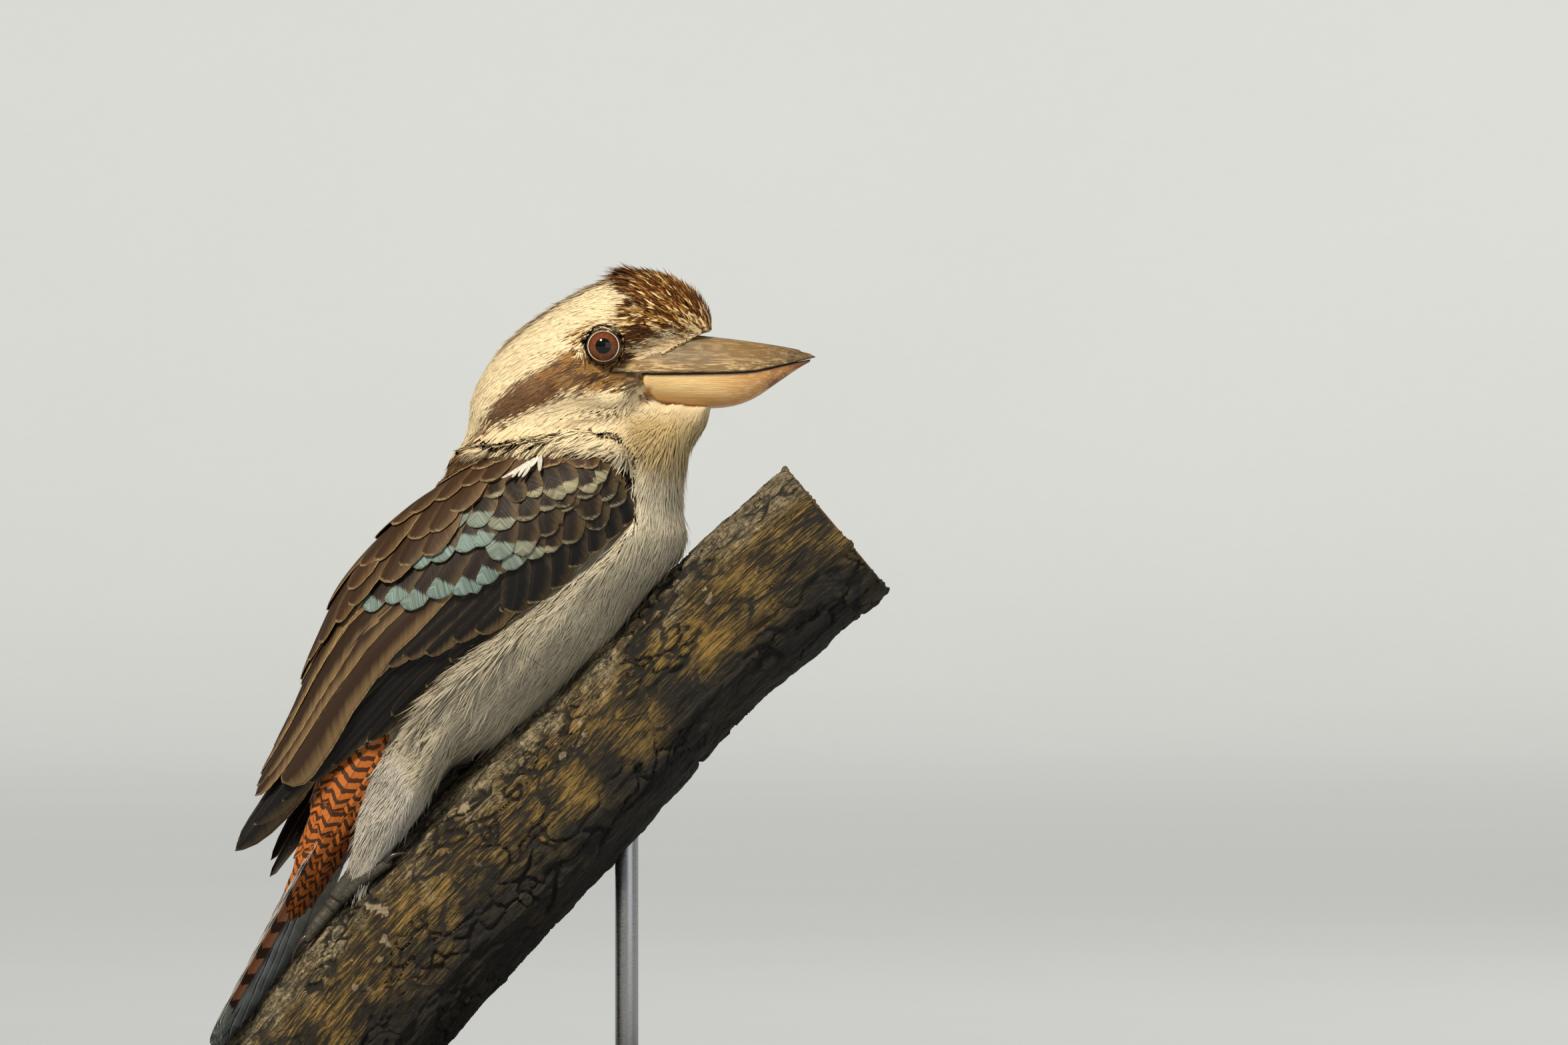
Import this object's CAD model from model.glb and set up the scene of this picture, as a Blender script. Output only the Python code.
import math

import bpy
import numpy as np
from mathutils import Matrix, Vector, noise
from mathutils.bvhtree import BVHTree


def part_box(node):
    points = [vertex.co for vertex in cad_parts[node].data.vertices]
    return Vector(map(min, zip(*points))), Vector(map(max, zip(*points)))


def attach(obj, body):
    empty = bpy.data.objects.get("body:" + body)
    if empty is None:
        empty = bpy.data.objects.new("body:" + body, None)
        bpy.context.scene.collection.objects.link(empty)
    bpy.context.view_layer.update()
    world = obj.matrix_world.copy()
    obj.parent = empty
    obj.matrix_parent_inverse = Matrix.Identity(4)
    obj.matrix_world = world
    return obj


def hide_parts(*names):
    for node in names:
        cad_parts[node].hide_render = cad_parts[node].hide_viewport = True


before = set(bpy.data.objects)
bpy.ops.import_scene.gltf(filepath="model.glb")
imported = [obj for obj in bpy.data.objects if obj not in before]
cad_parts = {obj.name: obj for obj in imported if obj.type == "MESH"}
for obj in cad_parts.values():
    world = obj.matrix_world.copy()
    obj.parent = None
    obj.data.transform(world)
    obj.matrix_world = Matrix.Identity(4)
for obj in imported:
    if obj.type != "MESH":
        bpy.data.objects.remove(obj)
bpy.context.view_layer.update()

bl_info = {
    "name": "Laughing kookaburra on its perch",
    "version": (1, 0, 0),
    "blender": (4, 5, 0),
    "location": "3D View > Sidebar > Kookaburra",
    "description": "Plumage, bill, eyes, feet, bark and stand of a life-size perched kookaburra",
    "category": "Object",
}

# Sizes are in millimetres, as in the solids, and become metres when a mesh is made.
MM = 0.001


# Colours
def colour(code):
    """The linear colour of a hex code."""
    parts = [int(code[i : i + 2], 16) / 255 for i in (1, 3, 5)]
    return tuple(c / 12.92 if c <= 0.04045 else ((c + 0.055) / 1.055) ** 2.4 for c in parts)


def colour_prop(name, description, code):
    return bpy.props.FloatVectorProperty(
        name=name, description=description, default=colour(code), subtype="COLOR", size=3, min=0, max=1
    )


def number_prop(name, description, default, high=10.0, low=0.0, **values):
    return bpy.props.FloatProperty(
        name=name, description=description, default=default, min=low, max=high, **values
    )


def length_prop(name, description, default, high=0.01, low=0.0):
    return number_prop(name, description, default, high, low, unit="LENGTH", subtype="DISTANCE")


# Settings
class CoatSettings(bpy.types.PropertyGroup):
    """Skin and small feathers of the head, neck, body and legs"""

    cream: colour_prop("Cream", "Head and collar", "#e4d0a8")
    white: colour_prop("Belly", "Breast, belly and flanks", "#d3c8ae")
    leg: colour_prop("Legs", "Feathered legs", "#ddd5c6")
    brown: colour_prop("Crown", "Crown streaks and eye mask", "#5a3310")
    gold: colour_prop("Forehead", "Golden streaks of the forehead and the lores", "#b9853c")
    mantle: colour_prop("Mantle", "Back between the wings", "#573b21")
    fringe: colour_prop("Mantle fringe", "Pale edges of the back feathers", "#a37f4b")
    depth: length_prop("Depth", "How far the skin lies inside the outline", 0.0017)
    voxel: length_prop("Skin grain", "Voxel size of the skin", 0.0015, low=0.0005)
    density: number_prop("Density", "How thickly the tufts stand", 1.0, high=3.0)


class WingSettings(bpy.types.PropertyGroup):
    """Feathers of both wings"""

    covert: colour_prop("Coverts", "Ground of the coverts", "#21160c")
    flight: colour_prop("Secondaries", "Ground of the secondaries", "#140e09")
    primary: colour_prop("Primaries", "Ground of the primaries", "#0a0807")
    tertial: colour_prop("Tertials", "Ground of the tertials", "#332010")
    scapular: colour_prop("Scapulars", "Ground of the scapulars", "#3d2611")
    blue: colour_prop("Blue tips", "Tips of the median and greater coverts", "#869e95")
    buff: colour_prop("Buff tips", "Tips of the front coverts", "#aea37f")
    stray: colour_prop("Stray feather", "One white feather at the shoulder", "#e9e4d6")
    edge: colour_prop("Edges", "Thin pale edges of the long feathers", "#cba873")


class TailSettings(bpy.types.PropertyGroup):
    """Tail feathers and their coverts"""

    rufous: colour_prop("Rufous", "Ground of the coverts and the upper side", "#b4621f")
    bar: colour_prop("Bars", "Dark bars", "#1c120b")
    pale: colour_prop("Underside", "Pale underside of the tail feathers", "#dde4e1")


class BillSettings(bpy.types.PropertyGroup):
    """Both halves of the bill"""

    horn: colour_prop("Upper horn", "Dark horn of the upper half", "#75644a")
    gilt: colour_prop("Golden horn", "Warm horn toward the tip and the mouth", "#8a6a3c")
    worn: colour_prop("Worn horn", "Golden worn places", "#d8b982")
    peach: colour_prop("Lower horn", "Pale base of the lower half", "#e3bf80")
    ripe: colour_prop("Ripe horn", "Orange horn of the keel and the tip", "#c88a44")
    dirt: colour_prop("Dirt", "Orange-brown dirt", "#7c471d")


class EyeSettings(bpy.types.PropertyGroup):
    """Eyes and their rims"""

    iris: colour_prop("Iris", "Reddish-brown iris", "#6b3a20")
    ring: colour_prop("Ring", "Thin cream ring", "#d8c79c")
    lid: colour_prop("Lid", "Dark bare skin round the eye", "#24170f")
    pupil: length_prop("Pupil", "Radius of the pupil", 0.0033)


class FootSettings(bpy.types.PropertyGroup):
    """Toes and claws"""

    scale: colour_prop("Scales", "Scales of the toes", "#3d382d")
    claw: colour_prop("Claws", "Horn of the claws", "#2c2621")


class PerchSettings(bpy.types.PropertyGroup):
    """Bark of the cut branch"""

    bark: colour_prop("Bark", "Middle tone of the bark", "#6d5626")
    lichen: colour_prop("Lichen", "Grey-pale crust on top", "#8d836a")
    moss: colour_prop("Underside", "Dark green-black underside", "#242315")
    crack: length_prop("Cracks", "Depth of the cracks", 0.0026)


class StandSettings(bpy.types.PropertyGroup):
    """Display stand"""

    wood: colour_prop("Base", "Stained wood", "#3a2a20")
    steel: colour_prop("Rods", "Brushed steel", "#a9aaab")


class StageSettings(bpy.types.PropertyGroup):
    """Camera, lights and floor"""

    floor: colour_prop("Floor", "Plain pale floor", "#b3b9be")
    lens: number_prop("Lens", "Focal length in millimetres", 300.0, low=20.0, high=600.0)
    distance: length_prop("Distance", "From the camera to the bird", 5.6, high=20.0)
    key: number_prop("Key light", "Strength of the key light", 4.1, high=20.0)
    fill: number_prop("Fill light", "Strength of the light from all round", 0.2, high=5.0)
    low: number_prop("Front light", "Power of the low light from the front in watts", 24.0, high=1000.0)
    rim: number_prop("Rim light", "Power of the light from behind in watts", 14.0, high=1000.0)


# Sizes shared with the solids
BEND = np.array([42.0, 0.0, 274.0])
WING_SLOPE = math.radians(42.5)
WING_WAY = np.array([-math.cos(WING_SLOPE), 0.0, -math.sin(WING_SLOPE)])
WING_UP = np.array([-math.sin(WING_SLOPE), 0.0, math.cos(WING_SLOPE)])
# Along the wing: outline height, height of the widest place, half width, lower half axis, thickness, and the
# degrees round the body from the lower edge to the upper one.
WING = {
    "s": [-7, 0, 10, 25, 45, 80, 117, 145, 175, 202, 232],
    "top": [24, 35, 44, 53, 60.5, 64, 58, 45, 29, 17.5, 9],
    "mid": [8, 10, 11.5, 13.5, 16, 19, 19, 15.5, 10, 5, -1],
    "wide": [30, 39, 44, 48, 50.5, 50.5, 44, 35.5, 27.5, 21, 17],
    "low": [26, 40, 46, 53, 57, 58, 51, 43, 34, 24, 14],
    "thick": [7, 9.5, 11.2, 12.2, 12.5, 12, 9.6, 7.8, 6.4, 5.2, 4],
    "from": [16, -14, -23, -25, -24, -22, -21, -26, -26, -24, -18],
    "to": [62, 60, 60, 64, 70, 78, 80, 80, 80, 80, 80],
}
DROOP = {"right": 0.0, "left": 18.0}
DROOP_FROM = 70.0
DROOP_POWER = 1.3
TAIL_ROOT = np.array([-72.0, 0.0, 159.0])
TAIL_SLOPE = math.radians(63)
TAIL_ROLL = math.radians(24)
TAIL_LONG = 139.0
TAIL_FAN = 130.0
TAIL_CURVE = 0.006
PERCH_LINE = {
    "x": [-104, -64.6, -25, 15.7, 43, 71.1, 98, 124.3, 162],
    "z": [9, 61.4, 104.5, 146, 176, 206, 231, 253, 284],
    "r": [38, 37.6, 37, 36.4, 34.5, 33.1, 33.4, 34.5, 35],
}
BILL = {
    "x": [34, 40, 47, 54, 66, 76, 86, 95, 106, 114, 118.5],
    "culmen": [328, 331, 335, 338.5, 340, 339.3, 338.1, 336.9, 335.2, 333.6, 332.5],
    "mouth": [324.6, 324.2, 323.8, 323.6, 323.7, 323.9, 324.2, 324.9, 327.3, 329.3, 330.3],
    "keel": [319, 316, 312.6, 311, 309.8, 309.4, 310.5, 313.9, 321.4, 326.8, 329.4],
    "wide": [25.5, 22.6, 19.6, 17.4, 15.2, 13.6, 11.8, 9.4, 6, 3.3, 1.5],
}
# Edge of the feathers round the bill in the side view.
FACE_EDGE = [
    (35.5, 324.8), (41, 326.4), (48, 328.6), (55, 331.6), (61, 333.6), (66, 336.6), (72, 339.2), (79, 341),
    (130, 341), (130, 308.2), (80, 308.2), (66, 309), (55, 310.6), (49, 312.6), (47.4, 316.5), (46.6, 321),
    (42, 322.8),
]
BILL_TIP = (121.1, 331.2)
EYE = {"x": 30.4, "z": 335.5, "radius": 8.0, "face": 29.8, "inset": 4.6}
LEGS = {
    "right": {"hip": (-45, -24, 178), "knee": (-58, -22, 147), "ankle": (-73, -15, 112)},
    "left": {"hip": (-30, 24, 176), "knee": (-40, 22, 158), "ankle": (-46, 15, 144)},
}


# Numbers
def hermite(t, a, slope_a, b, slope_b):
    t2, t3 = t * t, t * t * t
    rise = 3 * t2 - 2 * t3
    return (1 - rise) * a + (t3 - 2 * t2 + t) * slope_a + rise * b + (t3 - t2) * slope_b


def read(table, at, field):
    """The value of a table's field at places of its first field, smoothly between its entries."""
    keys = np.asarray(next(iter(table.values())), float)
    values = np.asarray(table[field], float)
    at = np.asarray(at, float)
    last = len(keys) - 1
    i = np.clip(np.searchsorted(keys, at, side="left") - 1, 0, last - 1)
    before = np.maximum(i - 1, 0)
    after = np.minimum(i + 2, last)
    span = keys[i + 1] - keys[i]
    slope_a = (values[i + 1] - values[before]) / (keys[i + 1] - keys[before]) * span
    slope_b = (values[after] - values[i]) / (keys[after] - keys[i]) * span
    return hermite(np.clip((at - keys[i]) / span, 0, 1), values[i], slope_a, values[i + 1], slope_b)


def read_all(table, at, *fields):
    return (read(table, at, field) for field in fields)


def soft_step(low, high, x):
    t = np.clip((x - low) / (high - low), 0, 1)
    return t * t * (3 - 2 * t)


def unit(vectors):
    return vectors / np.maximum(np.linalg.norm(vectors, axis=-1, keepdims=True), 1e-9)


def blend(a, b, share):
    """Colours or points between a and b, with a share for each row."""
    share = np.asarray(share)[..., None]
    return np.asarray(a) * (1 - share) + np.asarray(b) * share


def off_line(x, z, start, end):
    """How far places of the side view lie from the straight line between two of them."""
    (x0, z0), (x1, z1) = start, end
    along = np.clip(((x - x0) * (x1 - x0) + (z - z0) * (z1 - z0)) / ((x1 - x0) ** 2 + (z1 - z0) ** 2), 0, 1)
    return np.hypot(x - x0 - along * (x1 - x0), z - z0 - along * (z1 - z0))


def depth_in(outline, x, z):
    """How deep points lie inside a closed outline of the side view. Outside it is negative."""
    x, z = np.asarray(x, float), np.asarray(z, float)
    inside = np.zeros(x.shape, bool)
    nearest = np.full(x.shape, np.inf)
    for start, end in zip(outline, outline[1:] + outline[:1]):
        (x0, z0), (x1, z1) = start, end
        crosses = (z0 > z) != (z1 > z)
        rise = z1 - z0 if z1 != z0 else 1e-9
        inside ^= crosses & (x < (x1 - x0) * (z - z0) / rise + x0)
        nearest = np.minimum(nearest, off_line(x, z, start, end))
    return np.where(inside, nearest, -nearest)


def noise_at(points, size, seed=0):
    """Smooth noise from -1 to 1 at points in millimetres, with features about size across."""
    shift = Vector((seed * 7.3, seed * 3.1, seed * 5.7))
    return np.array([noise.noise(Vector(p) / size + shift) for p in points])


# Mesh and object helpers
def deselect():
    bpy.ops.object.select_all(action="DESELECT")


def make_active(piece):
    deselect()
    piece.select_set(True)
    bpy.context.view_layer.objects.active = piece


def to_mode(mode):
    bpy.ops.object.mode_set(mode=mode)


def primitive(kind, name, **values):
    """One of Blender's own meshes under its own name, with its place and turn applied."""
    deselect()
    getattr(bpy.ops.mesh, f"primitive_{kind}_add")(**values)
    piece = bpy.context.object
    piece.name = piece.data.name = name
    bpy.ops.object.transform_apply()
    return piece


def add_modifier(piece, kind, **values):
    """Adds a modifier with its values and applies it."""
    make_active(piece)
    modifier = piece.modifiers.new(kind, kind)
    for name, value in values.items():
        setattr(modifier, name, value)
    bpy.ops.object.modifier_apply(modifier=modifier.name)


def positions(mesh):
    co = np.empty(len(mesh.vertices) * 3, np.float32)
    mesh.vertices.foreach_get("co", co)
    return co.reshape(-1, 3).astype(float) / MM


def set_positions(mesh, points):
    mesh.vertices.foreach_set("co", (np.asarray(points) * MM).astype(np.float32).ravel())
    mesh.update()


def normals(mesh):
    found = np.empty(len(mesh.vertices) * 3, np.float32)
    mesh.vertices.foreach_get("normal", found)
    return found.reshape(-1, 3).astype(float)


def paint(mesh, name, colours):
    """Keeps a colour for each vertex in an attribute."""
    layer = mesh.attributes.new(name, "FLOAT_COLOR", "POINT")
    full = np.ones((len(mesh.vertices), 4), np.float32)
    full[:, :3] = colours
    layer.data.foreach_set("color", full.ravel())


def number(mesh, name, values):
    """Keeps a number for each vertex in an attribute."""
    layer = mesh.attributes.new(name, "FLOAT", "POINT")
    layer.data.foreach_set("value", np.asarray(values, np.float32).ravel())


def map_points(mesh, name, places):
    """A UV map that takes each vertex to its own place."""
    layer = mesh.uv_layers.new(name=name)
    corner = np.empty(len(mesh.loops), np.int32)
    mesh.loops.foreach_get("vertex_index", corner)
    layer.data.foreach_set("uv", np.asarray(places, np.float32)[corner].ravel())


def from_arrays(name, points, quads, triangles=()):
    """An object from points in millimetres and arrays of four-sided and three-sided faces."""
    mesh = bpy.data.meshes.new(name)
    quads = np.asarray(quads, np.int32).reshape(-1, 4)
    triangles = np.asarray(triangles, np.int32).reshape(-1, 3)
    corners = np.concatenate([quads.ravel(), triangles.ravel()])
    sides = np.concatenate([np.full(len(quads), 4), np.full(len(triangles), 3)])
    mesh.vertices.add(len(points))
    mesh.loops.add(len(corners))
    mesh.polygons.add(len(sides))
    mesh.loops.foreach_set("vertex_index", corners)
    mesh.polygons.foreach_set("loop_start", np.concatenate([[0], np.cumsum(sides)[:-1]]).astype(np.int32))
    mesh.polygons.foreach_set("use_smooth", np.ones(len(sides), bool))
    set_positions(mesh, points)
    mesh.update(calc_edges=True)
    piece = bpy.data.objects.new(name, mesh)
    bpy.context.scene.collection.objects.link(piece)
    return piece


def repeated(faces, count, size):
    """The faces of one element for count of them, which have size points each."""
    return (np.array(faces)[None] + (np.arange(count) * size)[:, None, None]).reshape(count * len(faces), -1)


def copy_of_nodes(name, *nodes):
    """One new object from copies of CAD nodes, with their loose triangles merged."""
    deselect()
    for node in nodes:
        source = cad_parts[node]
        source.select_set(True)
        bpy.context.view_layer.objects.active = source
    bpy.ops.object.duplicate()
    if len(nodes) > 1:
        bpy.ops.object.join()
    piece = bpy.context.view_layer.objects.active
    piece.parent = None
    for key in list(piece.keys()):
        del piece[key]
    piece.name = piece.data.name = name
    piece.data.materials.clear()
    make_active(piece)
    to_mode("EDIT")
    bpy.ops.mesh.select_all(action="SELECT")
    bpy.ops.mesh.remove_doubles(threshold=1e-6)
    to_mode("OBJECT")
    return piece


def wrapped_grid(name, columns, rows, place):
    """A grid wrapped onto place(u, v), closed where its edges meet and at its ends, and turned outwards."""
    piece = primitive("grid", name, x_subdivisions=columns, y_subdivisions=rows, size=2)
    flat = positions(piece.data) * MM
    set_positions(piece.data, place((flat[:, 0] + 1) / 2, (flat[:, 1] + 1) / 2))
    to_mode("EDIT")
    bpy.ops.mesh.select_all(action="SELECT")
    bpy.ops.mesh.remove_doubles(threshold=1e-5)
    bpy.ops.mesh.fill_holes(sides=0)
    bpy.ops.mesh.normals_make_consistent(inside=False)
    to_mode("OBJECT")
    bpy.ops.object.shade_smooth()
    return piece


def finish_piece(piece, material, slot, *nodes):
    """Gives a piece its material, rides it on the body and names what it stands for."""
    piece.data.materials.clear()
    piece.data.materials.append(material)
    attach(piece, "root")
    if nodes:
        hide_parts(*nodes)


# Shader helpers
class Wires:
    """Adds nodes to a tree and links them by plain calls."""

    def __init__(self, tree, shader=None):
        self.tree = tree
        self.shader = shader

    def node(self, kind, inputs=(), **values):
        """A node with its own values, and its sockets linked or set by name or place."""
        made = self.tree.nodes.new(kind)
        for name, value in values.items():
            setattr(made, name, value)
        for name, value in dict(inputs).items():
            self.put(made.inputs[name], value)
        return made

    def join(self, source, target):
        self.tree.links.new(source, target)

    def show(self, source, socket="Base Color"):
        """Links a source to a socket of the material's own shader."""
        self.join(source, self.shader.inputs[socket])

    def put(self, socket, value):
        """Links a socket, or sets it where value is a plain number or colour."""
        if isinstance(value, bpy.types.NodeSocket):
            self.join(value, socket)
        elif socket.type == "RGBA":
            socket.default_value = (*value[:3], 1)
        else:
            socket.default_value = value

    def math(self, operation, a, b=0.0):
        return self.node("ShaderNodeMath", {0: a, 1: b}, operation=operation).outputs[0]

    def add(self, a, b):
        return self.math("ADD", a, b)

    def sub(self, a, b):
        return self.math("SUBTRACT", a, b)

    def mul(self, a, b):
        return self.math("MULTIPLY", a, b)

    def most(self, a, b):
        return self.math("MAXIMUM", a, b)

    def mix(self, share, a, b):
        return self.node("ShaderNodeMix", {0: share, 6: a, 7: b}, data_type="RGBA").outputs[2]

    def ramp(self, value, low, high, start=0.0, end=1.0):
        """Maps value from low..high to start..end, smoothly."""
        given = dict(enumerate((value, low, high, start, end)))
        return self.node("ShaderNodeMapRange", given, interpolation_type="SMOOTHSTEP").outputs[0]

    def noise(self, vector, scale, detail=3.0, roughness=0.55, distortion=0.0, output="Fac"):
        given = {"Vector": vector, "Scale": scale, "Detail": detail, "Roughness": roughness}
        return self.node("ShaderNodeTexNoise", {**given, "Distortion": distortion}).outputs[output]

    def edges(self, vector, scale):
        """Distance to the edges of cells in a Voronoi pattern."""
        given = {"Vector": vector, "Scale": scale}
        return self.node("ShaderNodeTexVoronoi", given, feature="DISTANCE_TO_EDGE").outputs["Distance"]

    def stretched(self, vector, scale, rotation=(0, 0, 0), location=(0, 0, 0)):
        given = {"Vector": vector, "Scale": scale, "Rotation": rotation, "Location": location}
        return self.node("ShaderNodeMapping", given).outputs[0]

    def place(self):
        return self.node("ShaderNodeTexCoord").outputs["Object"]

    def attribute(self, name, output="Color"):
        return self.node("ShaderNodeAttribute", attribute_name=name).outputs[output]

    def value(self, name):
        return self.attribute(name, "Fac")

    def parts(self, vector):
        """The three numbers of a vector."""
        return self.node("ShaderNodeSeparateXYZ", {0: vector}).outputs

    def uv(self, name):
        return self.node("ShaderNodeUVMap", uv_map=name).outputs[0]

    def bump(self, height, strength, distance):
        given = {"Strength": strength, "Distance": distance, "Height": height}
        return self.node("ShaderNodeBump", given).outputs[0]


def new_material(name, roughness=0.6, **sockets):
    """A material with one Principled shader, its plain sockets set, and its wires."""
    material = bpy.data.materials.new(name)
    material.use_nodes = True
    shader = material.node_tree.nodes["Principled BSDF"]
    wires = Wires(material.node_tree, shader)
    for key, value in {"Roughness": roughness, **sockets}.items():
        wires.put(shader.inputs[key.replace("_", " ")], value)
    return material, wires


def new_group(name, inputs, outputs):
    """An empty shader group with named sockets, its wires, and what goes in and comes out of it inside."""
    tree = bpy.data.node_groups.new(name, "ShaderNodeTree")
    for way, sockets in (("INPUT", inputs), ("OUTPUT", outputs)):
        for label, kind in sockets:
            tree.interface.new_socket(label, in_out=way, socket_type=kind)
    w = Wires(tree)
    return tree, w, w.node("NodeGroupInput").outputs, w.node("NodeGroupOutput").inputs


def use_group(w, tree, **values):
    """The outputs of a node that uses the group, with its inputs linked or set by name."""
    return w.node("ShaderNodeGroup", values, node_tree=tree).outputs


COLOUR_SOCKET, NUMBER_SOCKET, VECTOR_SOCKET = "NodeSocketColor", "NodeSocketFloat", "NodeSocketVector"


def mottle_group():
    """Uneven tone over a surface: broad patches and fine specks in the piece's own coordinates."""
    if "Mottle" in bpy.data.node_groups:
        return bpy.data.node_groups["Mottle"]
    tree, w, given, made = new_group(
        "Mottle",
        [("Colour", COLOUR_SOCKET), ("Vector", VECTOR_SOCKET), ("Patch", NUMBER_SOCKET),
         ("Speck", NUMBER_SOCKET), ("Amount", NUMBER_SOCKET)],
        [("Colour", COLOUR_SOCKET), ("Height", NUMBER_SOCKET)],
    )
    broad = w.noise(given["Vector"], given["Patch"], 3.0)
    fine = w.noise(given["Vector"], given["Speck"], 2.0)
    both = w.add(w.mul(broad, 0.6), w.mul(fine, 0.4))
    swing = w.mul(w.sub(both, 0.5), w.mul(given["Amount"], 4.0))
    changed = w.node("ShaderNodeHueSaturation", {"Color": given["Colour"], "Value": w.add(swing, 1.0)})
    w.join(changed.outputs[0], made["Colour"])
    w.join(both, made["Height"])
    return tree


def mottled(name, tone, patch, speck, amount, bump=None, **sockets):
    """A material of one uneven colour or attribute, and its wires. bump is a strength and a distance."""
    material, w = new_material(name, **sockets)
    tone = w.attribute(tone) if isinstance(tone, str) else tone
    sizes = {"Patch": patch, "Speck": speck, "Amount": amount}
    made = use_group(w, mottle_group(), Colour=tone, Vector=w.place(), **sizes)
    w.show(made["Colour"])
    if bump:
        w.show(w.bump(made["Height"], *bump), "Normal")
    return material, w


# Plumage: where each colour and each kind of tuft lies
MASK = [
    (38, 341), (21.4, 336.5), (14.5, 332.5), (3.1, 327), (-5, 321.2), (-14.2, 312), (-22.2, 303), (-31, 292),
    (-34, 284), (-26, 286), (-19.9, 298.5), (-14.2, 304.7), (-0.4, 308.5), (12.2, 314.5), (21.4, 318.5),
    (28.3, 318), (36.3, 320.5), (47.5, 317.6), (51, 321), (44, 325.5), (46, 332), (45, 341),
]
CROWN = [
    (21, 342.6), (30, 344.8), (37.5, 346.4), (43.5, 349.5), (46.5, 356.5), (41.5, 363), (39, 376), (88, 372),
    (88, 341), (76, 340.5), (66, 338.5), (60, 340), (52, 337.5), (48, 333), (45.5, 327), (38.5, 331),
    (38.5, 341), (30, 343.8),
]
LORES = [(38, 325.6), (44, 330), (48, 334.5), (53, 338.5), (61, 340.5), (67, 338.6), (60, 333), (50, 328)]
STRIPE_WIDE = 5.5
# Strands of like colour run back from the bill: how fast their pattern changes across and along them.
STRAND_TURN = 60.0
STRAND_RUN = 0.14
MANTLE = [
    (-60, 300), (-33, 294.5), (0, 292), (24, 291), (34, 284), (30, 262), (-20, 210), (-60, 176), (-80, 168),
    (-90, 150), (-140, 110), (-150, 300),
]


def plumage(points, coat, seed, tuft):
    """The colour of the coat at each point. For tufts it varies from one to the next, as streaks."""
    cream, white, brown, gold = (np.array(getattr(coat, key)) for key in ("cream", "white", "brown", "gold"))
    x, y, z = points.T
    draw = np.random.default_rng(seed)
    ragged = noise_at(points, 4.0, 1) * 1.6 + (draw.normal(0, 1.3, len(x)) if tuft else 0)
    shade = noise_at(points, 9.0, 2)
    low = soft_step(300, 284, z)
    out = blend(cream, white, low * soft_step(-6, 20, x - 20 + ragged * 2))
    below = soft_step(292, 262, z + ragged)
    out = blend(out, white, below)
    chin = soft_step(56, 74, x) * soft_step(312, 300, z)
    out = blend(out, white * 1.12, chin * 0.6)
    rays = points - BILL_ROOT
    along = np.linalg.norm(rays, axis=1, keepdims=True)
    clump = np.clip(0.5 + 1.35 * noise_at(unit(rays) * STRAND_TURN + along * STRAND_RUN, 2.3, 11), 0, 1)
    streak = 0.3 * draw.random(len(x)) + 0.7 * clump if tuft else clump
    throat = soft_step(34, 50, x) * soft_step(313, 304, z) * soft_step(286, 298, z)
    out = out * blend((1.0,) * 3, (0.62, 0.56, 0.42), throat)
    out = out * (1 - 0.38 * soft_step(270, 236, z))[:, None]
    lores = soft_step(-1.5, 1.5, depth_in(LORES, x, z) + ragged * 0.5)
    lores_tone = blend(gold * 0.7, cream * 0.95, streak)
    out = blend(out, lores_tone, lores * 0.85)
    out = blend(out, brown * 0.7, crease_depth(x, z) * 0.6 * (np.abs(y) > 9))
    mask = soft_step(-1.6, 1.6, depth_in(MASK, x, z) + ragged)
    golden = soft_step(-4, 8, noise_at(points, 13.0, 7) * 8 + 0.35 * (x - 5)) * (streak > 0.5)
    mask_dark = brown * blend((0.5, 0.45, 0.3), (1.15, 0.95, 0.6), streak)
    mask_dark = blend(mask_dark, gold * 0.85, golden * (0.5 + 0.3 * soft_step(20, 40, x)))
    out = blend(out, mask_dark, mask * (0.92 + 0.08 * shade))
    crown = soft_step(-2.0, 3.0, depth_in(CROWN, x, z) + ragged * 1.5)
    stripe = soft_step(STRIPE_WIDE, 1.0, np.abs(y) + 0.9 * ragged) * soft_step(318, 326, z) * (x < 45)
    thin = soft_step(-30, 30, x) * 0.75 + 0.2
    low_front = soft_step(358, 340, z)
    crown_tone = blend(brown * 0.3, brown * 1.2, streak / 0.6)
    golden = (streak > 0.66 - 0.18 * low_front)[:, None]
    pale = (streak > 0.84 - 0.2 * low_front)[:, None]
    crown_tone = np.where(golden, gold * 0.62, crown_tone)
    crown_tone = np.where(pale, cream * (0.86, 0.78, 0.62), crown_tone)
    out = blend(out, crown_tone, crown)
    out = blend(out, brown * 0.8, stripe * np.where(streak < thin, 0.9, 0.15) * (1 - crown))
    mantle = soft_step(-2.5, 1.5, depth_in(MANTLE, x, z) + ragged)
    mantle_tone = blend(np.array(coat.mantle) * 0.5, np.array(coat.mantle) * 0.8, 0.5 + 0.5 * shade)
    out = blend(out, mantle_tone, mantle)
    leg = leg_share(points)
    out = blend(out, np.array(coat.leg) * 0.62, leg * (1 - mantle))
    if tuft:
        out = out * (1 + draw.normal(0, 0.05, (len(x), 1)))
    return np.clip(out * (1 + 0.09 * shade[:, None]), 0, 1)


def leg_share(points):
    """How much a point belongs to a leg, from 0 to 1."""
    found = np.zeros(len(points))
    for leg in LEGS.values():
        knee, ankle = np.array(leg["knee"], float), np.array(leg["ankle"], float)
        along = np.clip(((points - knee) @ (ankle - knee)) / ((ankle - knee) @ (ankle - knee)), 0, 1)
        away = np.linalg.norm(points - knee - along[:, None] * (ankle - knee), axis=1)
        found = np.maximum(found, soft_step(20, 14, away))
    return found


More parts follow.
